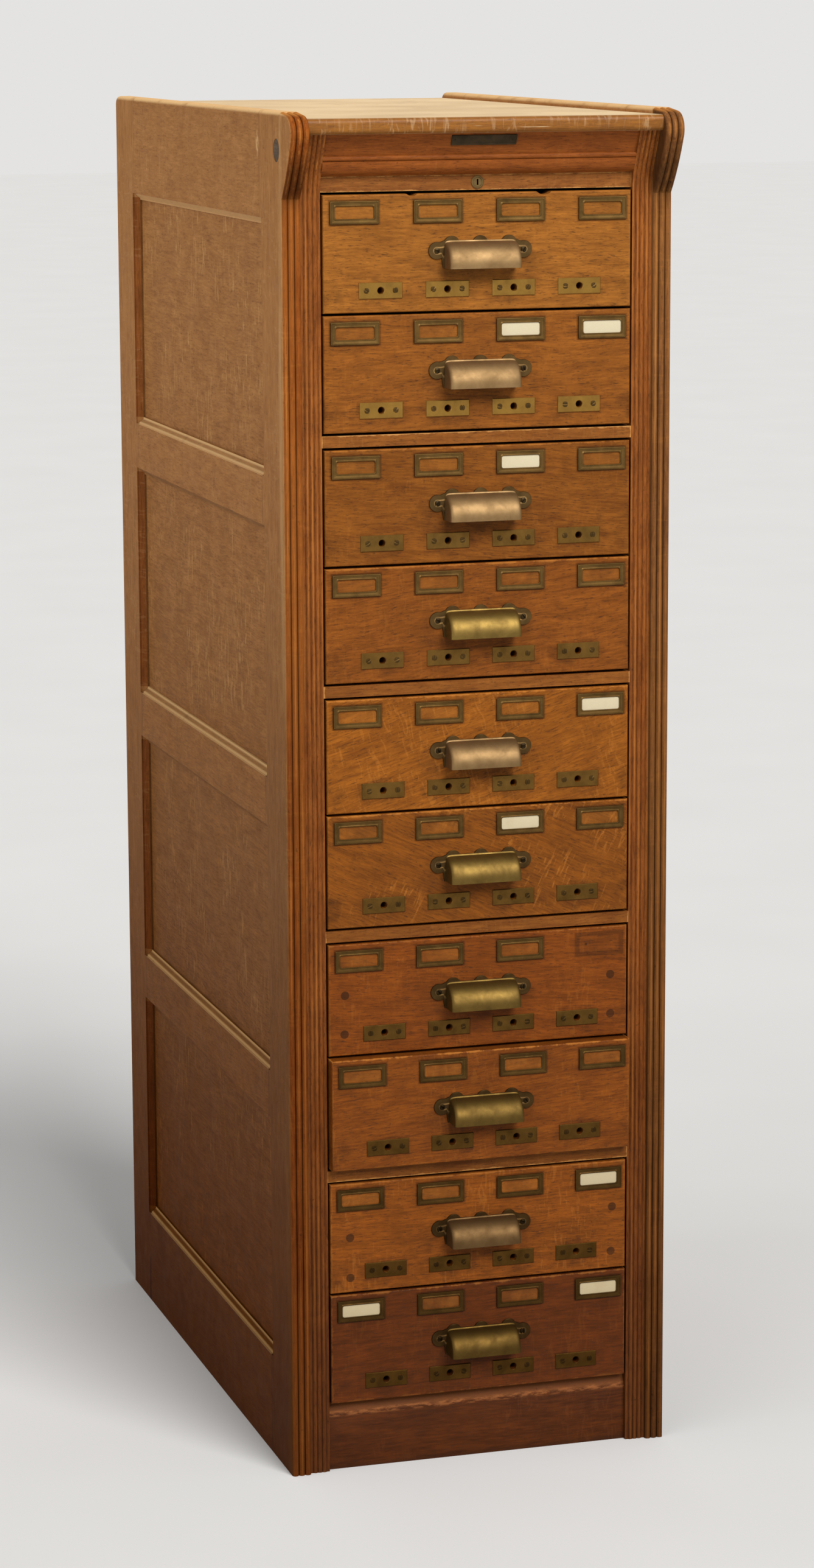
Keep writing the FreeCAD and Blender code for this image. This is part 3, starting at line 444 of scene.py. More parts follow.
def oak_figure():
    """Oak with its grain along the vector's X: growth streaks, open pores, ray fleck, broad tone."""
    tree, bench, given, result = shared(
        "oak figure",
        [("Vector", "vector", (0, 0, 0)), ("Seed", "value", 0.0)],
        [("Tone", "value"), ("Streak", "value"), ("Pore", "value"), ("Fleck", "value")],
    )
    shift = bench.add("ShaderNodeCombineXYZ", {0: given["Seed"], 1: given["Seed"], 2: given["Seed"]})
    place = bench.vector("ADD", given["Vector"], shift.outputs[0])
    sway = bench.noise(place, 9.0, 2.0)
    lift = bench.add("ShaderNodeCombineXYZ", {1: bench.times(sway, 0.008), 2: bench.times(sway, 0.012)})
    bent = bench.vector("ADD", place, lift.outputs[0])
    broad = bench.drawn_out(bent, (18, 110, 110), 4.0, 0.65)
    streak = bench.drawn_out(bent, (46, 560, 560), 5.0, 0.68)
    fibre = bench.drawn_out(bent, (150, 1050, 1050), 3.0, 0.6)
    fleck = bench.drawn_out(bent, (210, 42, 42), 2.0, 0.5, 1.4)
    patch = bench.noise(place, 14.0, 1.0)
    bench.feed(result, {
        "Tone": bench.ramp(broad, 0.30, 0.70),
        "Streak": bench.ramp(streak, 0.32, 0.68),
        "Pore": bench.ramp(fibre, 0.54, 0.70),
        "Fleck": bench.times(bench.ramp(fleck, 0.54, 0.68), bench.ramp(patch, 0.42, 0.60)),
    })
    return tree


def aged_oak():
    """Old varnished oak: the figure in its colours, dirt in the pores, wear, grime, and a darker, redder foot.
    On some boards the wear also carries painted highlights and the grime painted shade; the foot is a painted
    shade towards the floor.
    """
    tree, bench, given, result = shared(
        "aged oak",
        [
            ("Vector", "vector", (0, 0, 0)), ("Grain", "vector", (0, 0, 0)), ("Seed", "value", 0.0),
            ("Light", "colour", (0.5, 0.3, 0.1, 1)), ("Dark", "colour", (0.2, 0.1, 0.05, 1)),
            ("Pores", "value", 0.5), ("Flecks", "value", 0.2),
            ("Wear", "value", 0.0), ("Bare", "colour", (0.6, 0.4, 0.2, 1)),
            ("Grime", "value", 0.0), ("Gloss", "value", 0.42), ("Sink", "value", 0.0),
        ],
        [("Color", "colour"), ("Roughness", "value"), ("Height", "value")],
    )
    pore_dirt, dirt, red_shade = (0.030, 0.013, 0.006, 1), (0.016, 0.007, 0.003, 1), (0.22, 0.12, 0.01, 1)
    figure = bench.group(FIGURE, {"Vector": given["Grain"], "Seed": given["Seed"]})
    tone = bench.maths("MULTIPLY_ADD", figure["Tone"], 0.35, 0.08)
    share = bench.maths("MULTIPLY_ADD", figure["Streak"], 0.5, tone)
    wood = bench.blend(share, given["Dark"], given["Light"])
    blotch = bench.ramp(bench.noise(given["Vector"], 26.0, 5.0, 0.7, 0.6), 0.38, 0.72)
    wood = bench.blend(bench.times(blotch, 0.42), wood, given["Dark"])
    wood = bench.blend(bench.times(figure["Fleck"], given["Flecks"]), wood, given["Bare"])
    pore = bench.times(figure["Pore"], given["Pores"])
    wood = bench.blend(pore, wood, pore_dirt)
    # wear lightens towards the bare wood, and on some boards also stands for painted highlights
    wood = bench.blend(bench.maths("MULTIPLY", given["Wear"], 0.8, clamp=True), wood, given["Bare"])
    spot = bench.ramp(bench.noise(given["Vector"], 260.0, 2.0), 0.70, 0.76)
    # spots of dirt, and grime that on some boards also stands for painted shade
    wood = bench.blend(bench.maths("MULTIPLY_ADD", spot, 0.35, given["Grime"], clamp=True), wood, dirt)
    # darker and redder towards the floor: a painted shade
    wood = bench.group(PAINTED_FLOOR_SHADE, {
        "Vector": given["Vector"], "Color": wood, "Top": 1.25, "Share": given["Sink"], "Shade": red_shade,
    })["Color"]
    dulled = bench.maths("MULTIPLY_ADD", given["Wear"], 0.18, given["Gloss"])
    bench.feed(result, {
        "Color": wood,
        "Roughness": bench.maths("MULTIPLY_ADD", bench.noise(given["Vector"], 45.0, 3.0), 0.22, dulled),
        "Height": bench.maths("MULTIPLY_ADD", pore, -0.7, bench.times(figure["Streak"], 0.35)),
    })
    return tree


def edge_rub():
    """Wear along a board's edges: near two of its faces at once, broken up by noise.

    The two smallest distances to the board's faces are found; the second is the distance to the
    nearest edge.
    """
    tree, bench, given, result = shared(
        "edge rub",
        [
            ("Vector", "vector", (0, 0, 0)), ("Low", "vector", (0, 0, 0)), ("High", "vector", (1, 1, 1)),
            ("Width", "value", 0.003),
        ],
        [("Wear", "value")],
    )
    to_low = bench.split(bench.vector("SUBTRACT", given["Vector"], given["Low"]))
    to_high = bench.split(bench.vector("SUBTRACT", given["High"], given["Vector"]))
    x, y, z = (bench.maths("MINIMUM", to_low[k], to_high[k]) for k in range(3))
    second = bench.most(bench.maths("MINIMUM", x, y), bench.maths("MINIMUM", bench.most(x, y), z))
    ragged = bench.noise(given["Vector"], 70.0, 4.0, 0.7)
    width = bench.times(given["Width"], bench.ramp(ragged, 0.35, 0.72, 0.15, 1.6))
    near = bench.maths("SUBTRACT", 1.0, bench.maths("DIVIDE", second, width), clamp=True)
    bench.feed(result, {"Wear": near})
    return tree


def reed_marks():
    """The valleys between reeds that repeat across X, and their crests where they are rubbed.  The valleys carry
    dirt and painted shade, and the rubbed crests also a painted highlight.

    The distance from the cabinet's middle, less the first reed's edge, is divided by the pitch.  Its
    fraction runs from 0 to 1 over one reed, with the crest at a half.
    """
    tree, bench, given, result = shared(
        "reed marks",
        [
            ("Vector", "vector", (0, 0, 0)), ("First", "value", 0.16), ("Pitch", "value", 0.005),
            ("Valley from", "value", 0.36), ("Crest to", "value", 0.22),
            ("Rub from", "value", 0.42), ("Rub", "value", 0.7),
        ],
        [("Valley", "value"), ("Crest", "value")],
    )
    x = bench.maths("ABSOLUTE", bench.split(given["Vector"])[0])
    step = bench.maths("DIVIDE", bench.less(x, given["First"]), given["Pitch"])
    across = bench.apart(bench.maths("FRACT", step), 0.5)
    full = bench.maths("ADD", given["Rub from"], 0.26)
    long = bench.drawn_out(given["Vector"], (160, 160, 5))
    rub = bench.ramp(long, given["Rub from"], full, 0.0, given["Rub"])
    bench.feed(result, {
        "Valley": bench.ramp(across, given["Valley from"], 0.5),
        "Crest": bench.times(bench.ramp(across, given["Crest to"], 0.0), rub),
    })
    return tree


def old_brass():
    """Brass with brown tarnish in blotches, a rubbed clean share, and fine scratches, darker towards the floor by
    a painted shade.
    """
    tree, bench, given, result = shared(
        "old brass",
        [
            ("Vector", "vector", (0, 0, 0)), ("Clean", "colour", (0.6, 0.4, 0.15, 1)),
            ("Tarnish", "colour", (0.15, 0.09, 0.04, 1)), ("Rubbed", "value", 0.5), ("Gloss", "value", 0.3),
        ],
        [("Color", "colour"), ("Roughness", "value"), ("Height", "value")],
    )
    cloud = bench.noise(given["Vector"], 62.0, 4.0, 0.6, 0.3)
    fine = bench.noise(given["Vector"], 900.0, 2.0, 0.6)
    scratch = bench.drawn_out(given["Vector"], (90, 900, 2600), 1.0)
    clean = bench.maths("ADD", bench.ramp(cloud, 0.1, 0.9), bench.less(given["Rubbed"], 0.5), clamp=True)
    colour = bench.blend(clean, given["Tarnish"], given["Clean"])
    colour = bench.blend(bench.ramp(fine, 0.58, 0.75, 0.0, 0.22), colour, given["Tarnish"])
    # darker towards the floor: a painted shade
    colour = bench.group(PAINTED_FLOOR_SHADE, {
        "Vector": given["Vector"], "Color": colour, "Share": 0.9, "Shade": (0.30, 0.25, 0.20, 1),
    })["Color"]
    bench.feed(result, {
        "Color": colour,
        "Roughness": bench.maths("MULTIPLY_ADD", bench.less(1.0, clean), 0.15, given["Gloss"]),
        "Height": bench.maths("MULTIPLY_ADD", scratch, 0.3, bench.times(fine, 0.6)),
    })
    return tree


PAINTED_FLOOR_SHADE = painted_floor_shade()
FIGURE = oak_figure()
OAK = aged_oak()
EDGE = edge_rub()
REEDS = reed_marks()
BRASS = old_brass()
UPRIGHT = (0, math.pi / 2, 0)      # turns the grain from X to Z
DEEP = (0, 0, math.pi / 2)         # turns the grain from X to Y
LEVEL = (0, 0, 0)


def paint(name):
    """A new material's bench, its shader, and where on the object each point is."""
    material = bpy.data.materials.new(name)
    material.use_nodes = True
    bench = Bench(material.node_tree)
    shader = material.node_tree.nodes["Principled BSDF"]
    place = bench.add("ShaderNodeTexCoord").outputs["Object"]
    return material, bench, shader, place


def relief(bench, shader, height, strength, distance):
    """Feed a height to the shader's normal."""
    bump = bench.add("ShaderNodeBump", {"Height": height, "Strength": strength, "Distance": distance})
    bench.feed(shader.inputs, {"Normal": bump.outputs[0]})


def varnish(bench, shader, inputs, sheen, bump):
    """Feed the shader from the aged oak group."""
    wood = bench.group(OAK, inputs)
    bench.feed(shader.inputs, {
        "Base Color": wood["Color"], "Roughness": wood["Roughness"], "Specular IOR Level": sheen,
    })
    relief(bench, shader, wood["Height"], bump, 0.25 * MM)


def oak(name, light, dark, turn=LEVEL, seed=0.0, edges=None, rub=2.5 * MM, extra=None, **look):
    """An oak finish.

    edges is the board's (low, high) box, whose edges are worn over the width rub.  extra takes the
    bench, the place and that wear, and gives back the wear and grime with the board's own marks, which
    on some boards also carry painted highlights and painted shade.
    """
    material, bench, shader, place = paint(name)
    wear = grime = 0.0
    if edges:
        box = {"Vector": place, "Low": tuple(edges[0]), "High": tuple(edges[1]), "Width": rub}
        wear = bench.group(EDGE, box)["Wear"]
    if extra:
        wear, grime = extra(bench, place, wear)
    inputs = {
        "Vector": place, "Grain": bench.rotated(place, turn), "Seed": seed,
        "Light": tint(*light), "Dark": tint(*dark), "Bare": tint(*look.get("bare", (205, 150, 85))),
        "Pores": look.get("pores", 0.55), "Flecks": look.get("flecks", 0.15),
        # a painted shade towards the floor, and the marks' wear and grime
        "Gloss": look.get("gloss", 0.40), "Sink": look.get("sink", 0.0), "Wear": wear, "Grime": grime,
    }
    varnish(bench, shader, inputs, look.get("sheen", 0.07), 0.35)
    return material


def brass(name, clean, tarnish, rubbed, gloss, metallic=1.0):
    """An old brass finish."""
    material, bench, shader, place = paint(name)
    metal = bench.group(BRASS, {
        "Vector": place, "Clean": tint(*clean), "Tarnish": tint(*tarnish), "Rubbed": rubbed, "Gloss": gloss,
    })
    bench.feed(shader.inputs, {
        "Base Color": metal["Color"], "Roughness": metal["Roughness"],
        "Metallic": metallic, "Specular IOR Level": 0.15,
    })
    relief(bench, shader, metal["Height"], 0.15, 0.05 * MM)
    return material


def card_paper():
    """Off-white card, faintly mottled and stained, and darker towards the floor by a painted shade."""
    material, bench, shader, place = paint("card paper")
    fibre = bench.noise(place, 1400.0, 3.0)
    stain = bench.ramp(bench.noise(place, 60.0, 3.0), 0.5, 0.8)
    colour = bench.blend(fibre, tint(184, 170, 138), tint(198, 186, 156))
    colour = bench.blend(bench.times(stain, 0.35), colour, tint(176, 158, 122))
    # darker towards the floor: a painted shade
    colour = bench.group(PAINTED_FLOOR_SHADE, {
        "Vector": place, "Color": colour, "Share": 0.8, "Shade": (0.58, 0.52, 0.42, 1),
    })["Color"]
    rough = bench.maths("MULTIPLY_ADD", fibre, 0.2, 0.6)
    bench.feed(shader.inputs, {"Base Color": colour, "Roughness": rough})
    relief(bench, shader, fibre, 0.15, 0.05 * MM)
    return material


def paint_node(node, material):
    """Give a CAD node its finish."""
    slots = frame["nodes"][node].data.materials
    slots.clear()
    slots.append(material)


# ---- carcass -------------------------------------------------------------------------------------

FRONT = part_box("drawer_01_front")[0].y
PANEL_FOOT = 109.0 * MM          # the lowest panel's foot
PANEL_PITCH = 295.5 * MM
PANEL_HIGH = 236.0 * MM
MOULDING = 7.2 * MM              # width of the moulding round a panel
TOP_PANEL_FOOT = 1.0             # a height just above the fourth panel's foot
TOP_PANEL_HEAD = 1.24            # a height just above its head
HOLLOW = 1.272                   # height of the corbel's hollow
STILE_FRONT, STILE_REAR = 77.5 * MM, 84.0 * MM      # widths of a gable's upright boards
GABLE_REEDS = {"left": ((147, 79, 28), (95, 44, 14)), "right": ((133, 86, 46), (83, 50, 26))}
GABLE_SEED = {"left": 3.7, "right": 8.1}


def top_finish():
    """Top board: pale above, partly bleached and partly a painted glare of light from above; an orange varnish
    left on its front edge.
    """
    low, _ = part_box("top_board")

    def marks(bench, place, _):
        y = bench.split(place)[1]
        # the upper face is pale: partly bleached, partly a painted glare of light from above
        above = bench.ramp(y, low.y + 2.0 * MM, low.y + 7.0 * MM)
        bleach_and_glare = bench.ramp(bench.noise(place, 6.0, 3.0), 0.3, 0.7, 0.72, 0.98)
        scuff = bench.ramp(bench.drawn_out(place, (12, 300, 300), 2.0), 0.68, 0.74)
        ring = bench.ramp(bench.noise(place, 19.0, 2.0), 0.66, 0.74, 0.0, 0.25)
        edge = bench.times(scuff, bench.less(1.0, above))
        return bench.maths("MULTIPLY_ADD", above, bleach_and_glare, bench.times(edge, 0.6)), ring

    return oak(
        "top board oak", (147, 93, 31), (104, 60, 18), seed=12.0, extra=marks,
        bare=(240, 212, 166), pores=0.35, sheen=0.2, gloss=0.34,
    )


def plinth_finish():
    """Plinth: dark, with a pale rubbed line along its bevelled top, the bevel lighter as a painted highlight, and
    darker in its lowest 9 mm.
    """
    _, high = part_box("plinth")

    def marks(bench, place, _):
        z = bench.split(place)[2]
        ragged = bench.ramp(bench.drawn_out(place, (70, 70, 260), 4.0, 0.7), 0.42, 0.62, 0.0, 0.55)
        line = bench.times(bench.ramp(bench.apart(z, high.z - 11.0 * MM), 4.0 * MM, 0.5 * MM), ragged)
        # the bevel faces up to the light: a painted highlight
        bevel_highlight = bench.ramp(z, high.z - 12.0 * MM, high.z - 9.0 * MM, 0.0, 0.28)
        # the rubbed line and the bevel's painted highlight; and darker in the lowest 9 mm
        return bench.maths("ADD", line, bevel_highlight, clamp=True), bench.ramp(z, 9.0 * MM, 0.0, 0.0, 0.4)

    return oak(
        "plinth oak", (80, 38, 9), (46, 19, 4), seed=14.0, extra=marks, bare=(150, 92, 50), flecks=0.04,
    )


def pilaster_finish(side, seed):
    """Pilaster: redder oak; its valleys darkened with dirt and painted shade, its crests rubbed and lighter, also
    a painted highlight, and a painted shade towards its foot and the floor.
    """
    inner = min(abs(corner.x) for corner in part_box(f"{side}_pilaster"))

    def marks(bench, place, _):
        reeds = bench.group(REEDS, {
            "Vector": place, "First": inner + 3.0 * MM, "Pitch": 14.0 / 3 * MM,
            "Valley from": 0.36, "Crest to": 0.22, "Rub from": 0.42, "Rub": 0.7,
        })
        # a painted shade towards the foot
        foot = bench.ramp(bench.split(place)[2], 0.45, 0.0, 0.0, 0.42)
        # valleys: dirt and painted shade; rubbed crests, also a painted highlight
        return reeds["Crest"], bench.maths("MULTIPLY_ADD", reeds["Valley"], 0.42, foot)

    # the pilaster also darkens towards the floor: a painted shade
    return oak(
        f"{side} pilaster oak", (150, 86, 34), (92, 47, 17), UPRIGHT, seed, extra=marks,
        flecks=0.05, bare=(184, 118, 54), sink=0.62,
    )


def gable_finish(side):
    """Dull brown frame outside; its reeded front edge keeps a redder varnish, its top is rubbed pale."""
    low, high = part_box(f"{side}_gable")
    material, bench, shader, place = paint(f"{side} gable oak")
    x, y, z = bench.split(place)
    inner, outer = sorted((abs(low.x), abs(high.x)))
    # the reeded zone: ahead of the drawers' faces and in from the outer face
    ahead = bench.ramp(y, FRONT + 3.0 * MM, FRONT - 1.0 * MM)
    zone = bench.times(ahead, bench.ramp(bench.maths("ABSOLUTE", x), outer - 0.2 * MM, outer - 1.2 * MM))
    reeds = bench.group(REEDS, {
        "Vector": place, "First": inner, "Pitch": (outer - inner) / 3,
        "Valley from": 0.34, "Crest to": 0.24, "Rub from": 0.40, "Rub": 0.75,
    })
    # the rails' grain runs front to back between the two upright stiles
    stile_front = FRONT + STILE_FRONT
    stile_rear = high.y - STILE_REAR
    rail = bench.between(y, stile_front, stile_rear)
    turns = {0: rail, 4: bench.rotated(place, UPRIGHT), 5: bench.rotated(place, DEEP)}
    grain = bench.add("ShaderNodeMix", turns, data_type="VECTOR").outputs[1]
    joint = bench.maths("MINIMUM", bench.apart(y, stile_front), bench.apart(y, stile_rear))
    seam = bench.times(bench.ramp(joint, 0.7 * MM, 0.15 * MM), 0.45)
    # the moulding round each panel: its lower run faces up and is painted lighter, with two painted highlight
    # lines;
    # its rear run is redder; and its upper run has a painted highlight on the fourth panel and a painted shade on
    # the others
    row = bench.maths("FRACT", bench.maths("DIVIDE", bench.less(z, PANEL_FOOT), PANEL_PITCH))
    up = bench.times(row, PANEL_PITCH)
    ledge = bench.times(rail, bench.maths("GREATER_THAN", up, PANEL_PITCH - MOULDING))
    ledge = bench.times(ledge, bench.maths("LESS_THAN", z, TOP_PANEL_FOOT))
    # two painted highlight lines either side of the lower run's groove
    line = bench.ramp(bench.apart(up, PANEL_PITCH - 3.4 * MM), 0.7 * MM, 1.9 * MM, 0.0, 0.85)
    line = bench.times(ledge, line)
    brow = bench.times(rail, bench.between(up, PANEL_HIGH - 2.5 * MM, PANEL_HIGH + 4.0 * MM))
    brow = bench.times(brow, bench.maths("GREATER_THAN", z, PANEL_FOOT))
    # the upper run: a painted highlight on the fourth panel, a painted shade on the others
    upper = bench.times(brow, bench.maths("GREATER_THAN", z, TOP_PANEL_FOOT))
    lower = bench.less(brow, upper)
    beside = bench.between(y, stile_rear, stile_rear + MOULDING)
    reveal = bench.times(beside, bench.maths("LESS_THAN", up, PANEL_HIGH))
    reveal = bench.times(reveal, bench.maths("LESS_THAN", z, TOP_PANEL_HEAD))
    # paler where the top's edge and the front corner are rubbed
    top = bench.ramp(bench.noise(place, 30.0, 3.0), 0.25, 0.5, 0.45, 1.0)
    top = bench.times(bench.ramp(z, high.z - 4.5 * MM, high.z - 1.5 * MM), top)
    corner = bench.ramp(bench.drawn_out(place, (40, 40, 3)), 0.35, 0.65)
    corner = bench.times(bench.ramp(bench.apart(y, FRONT + 5 * MM), 14 * MM, 2 * MM, 0.0, 0.4), corner)
    # the mouldings' painted highlights
    moulding_highlights = bench.maths("MULTIPLY_ADD", upper, 0.5, bench.maths("MULTIPLY_ADD", ledge, 0.25, line))
    # rubbed crests (also a painted highlight), the rubbed corner and top, and the mouldings' painted highlights
    wear = bench.most(bench.times(reeds["Crest"], zone), corner, moulding_highlights, top)
    if side == "left":
        # a scuff beside the top's front corner
        scuff = bench.oval(bench.less(y, FRONT + 83.0 * MM), 6.0 * MM, bench.less(z, 1.305), 13.0 * MM)
        ragged = bench.ramp(bench.noise(place, 160.0, 3.0), 0.35, 0.6)
        scuff = bench.ramp(bench.times(scuff, scuff), 1.2, 0.2, 0.0, 0.7)
        wear = bench.maths("MULTIPLY_ADD", scuff, ragged, wear)
    # darkening: dirt and painted shade in the reeds' valleys, a painted shade in the corbel's hollow, dark joints,
    # streaks of dirt, darker down the front stile, and a painted shade towards the foot
    drip = bench.ramp(bench.drawn_out(place, (30, 30, 5), 4.0), 0.60, 0.8, 0.0, 0.4)
    # a painted shade towards the foot
    foot = bench.ramp(z, 0.24, 0.0, 0.0, 0.45)
    # darker down the front stile, from 1.15 m to 0.6 m
    front_stile_darkening = bench.times(bench.maths("LESS_THAN", y, stile_front), bench.ramp(z, 1.15, 0.6, 0.0, 0.28))
    # streaks of dirt, the painted shade at the foot and the darker front stile
    dirt = bench.maths("ADD", drip, bench.maths("ADD", foot, front_stile_darkening))
    # a painted shade in the corbel's hollow
    hollow = bench.times(bench.ramp(bench.apart(z, HOLLOW), 34.0 * MM, 8.0 * MM, 0.0, 0.55), zone)
    # dirt and painted shade in the reeds' valleys
    valley_dirt_and_shade = bench.times(bench.times(reeds["Valley"], zone), 0.45)
    grime = bench.most(valley_dirt_and_shade, bench.times(lower, 0.22), hollow, seam)
    grime = bench.maths("MULTIPLY_ADD", dirt, 0.5, grime, clamp=True)
    reed_light, reed_dark = GABLE_REEDS[side]
    redder = bench.maths("MULTIPLY_ADD", reveal, 0.75, zone, clamp=True)
    inputs = {
        "Vector": place, "Grain": grain, "Seed": GABLE_SEED[side],
        "Light": bench.blend(redder, tint(184, 130, 76), tint(*reed_light)),
        "Dark": bench.blend(redder, tint(142, 94, 52), tint(*reed_dark)),
        "Bare": bench.blend(zone, tint(222, 182, 128), tint(182, 118, 54)),
        "Pores": 0.4, "Flecks": 0.1, "Gloss": 0.5, "Wear": wear, "Grime": grime,
        # a painted shade towards the floor, weaker on the reeded front and on the mouldings' painted highlight
        # lines
        "Sink": bench.maths("MULTIPLY_ADD", zone, -0.35, bench.maths("MULTIPLY_ADD", line, -0.38, 1.0)),
    }
    varnish(bench, shader, inputs, 0.025, 0.3)
    return material


def carcass():
    """Gables, panels, pilasters, top, cornice, rails, plinth and the unseen inside."""
    for side, seed in (("left", 1.3), ("right", 6.2)):
        finished(f"{side}_gable", "cabinet", gable_finish(side))
        finished(f"{side}_pilaster", "cabinet", pilaster_finish(side, seed + 2))
        # the panels darken towards the floor: a painted shade
        panel = oak(
            f"{side} panel oak", (182, 128, 74), (134, 88, 48), DEEP, seed, pores=0.4, flecks=0.5,
            bare=(206, 158, 100), gloss=0.5, sink=1.0, sheen=0.025,
        )
        paint_node(f"{side}_side_panels", panel)
    boards = (
        ("cornice", "cornice_oak", (152, 84, 32), (106, 54, 20), 0.0),
        ("lock_rail", "cornice_oak", (150, 93, 41), (100, 55, 22), 1.2 * MM),
        ("drawer_rails", "rail_oak", (147, 90, 36), (101, 55, 19), 1.4 * MM),
    )
    for number, (node, slot, light, dark, rub) in enumerate(boards):
        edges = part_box(node) if rub else None
        # the boards darken towards the floor: a painted shade
        wood = oak(f"{node} oak", light, dark, LEVEL, 11.0 + number, edges, rub, sink=0.5, flecks=0.05)
        finished(node, "cabinet", wood)
    finished("top_board", "cabinet", top_finish())
    finished("plinth", "cabinet", plinth_finish())
    pine = oak("bare pine", (206, 164, 110), (160, 116, 70), DEEP, 21.0, pores=0.15, flecks=0.0, gloss=0.6)
    dark_back = oak("back boards", (120, 84, 54), (76, 50, 30), UPRIGHT, 23.0, pores=0.5, gloss=0.6)
    for node in ("drawer_runners", "bottom_board"):
        paint_node(node, pine)
    for node in ("back_frame", "back_panels"):
        paint_node(node, dark_back)
    plug = oak("plug end grain", (112, 94, 76), (70, 58, 48), DEEP, 31.0, pores=0.3, gloss=0.6)
    paint_node("gable_plug", plug)
    return pine


# ---- drawers -------------------------------------------------------------------------------------

# each front's own light and dark grain colours, also darker down the cabinet as a painted shade towards the floor
FRONT_TONES_AND_SHADE = {
    1: ((162, 101, 37), (108, 63, 21)),
    2: ((148, 87, 29), (97, 53, 16)),
    3: ((136, 80, 25), (88, 46, 12)),
    4: ((138, 77, 24), (88, 46, 12)),
    5: ((150, 87, 24), (96, 51, 12)),
    6: ((132, 74, 19), (84, 44, 11)),
    7: ((127, 65, 16), (79, 38, 9)),
    8: ((126, 67, 17), (78, 38, 10)),
    9: ((131, 69, 17), (80, 41, 9)),
    10: ((92, 43, 11), (56, 26, 7)),
}
YELLOW_PULLS = (4, 6, 7, 8, 10)
# the top two drawers' plates take a lighter copy of the plate brass: painted light, brighter where more light
# falls
LIT_PLATES = (1, 2)
TOP_RUB = {3: 0.7, 4: 0.8, 5: 1.0, 6: 1.0, 8: 0.9}
GRAIN_SLOPE = {3: -4, 4: 5, 5: 16, 6: -24, 7: -3, 8: 4}
RAY_FLECK = {5: 0.22, 6: 0.30, 9: 0.15, 10: 0.03}
PLUG_RADIUS = 4.6 * MM
PLUGS = {       # filled screw holes, in millimetres across and up from the front's lower edge
    7: ((-137.5, 60.5), (-138.2, 21.6), (136.6, 62.4), (136.8, 22.4)),
    9: ((-134.0, 56.0), (-134.0, 15.0), (139.7, 63.8), (138.6, 17.6)),
}


def rod_row(number):
    """The middle, the pitch and the radius of a drawer's four rod holes, from its mounts."""
    name = f"drawer_{number:02d}_inner_rod_holes"
    holes = next(mount for mount in frame["record"]["mounts"] if mount["name"] == name)
    return holes["pos_m"], holes["dims"]["spacing_x_mm"] * MM, holes["dims"]["hole_r_mm"] * MM


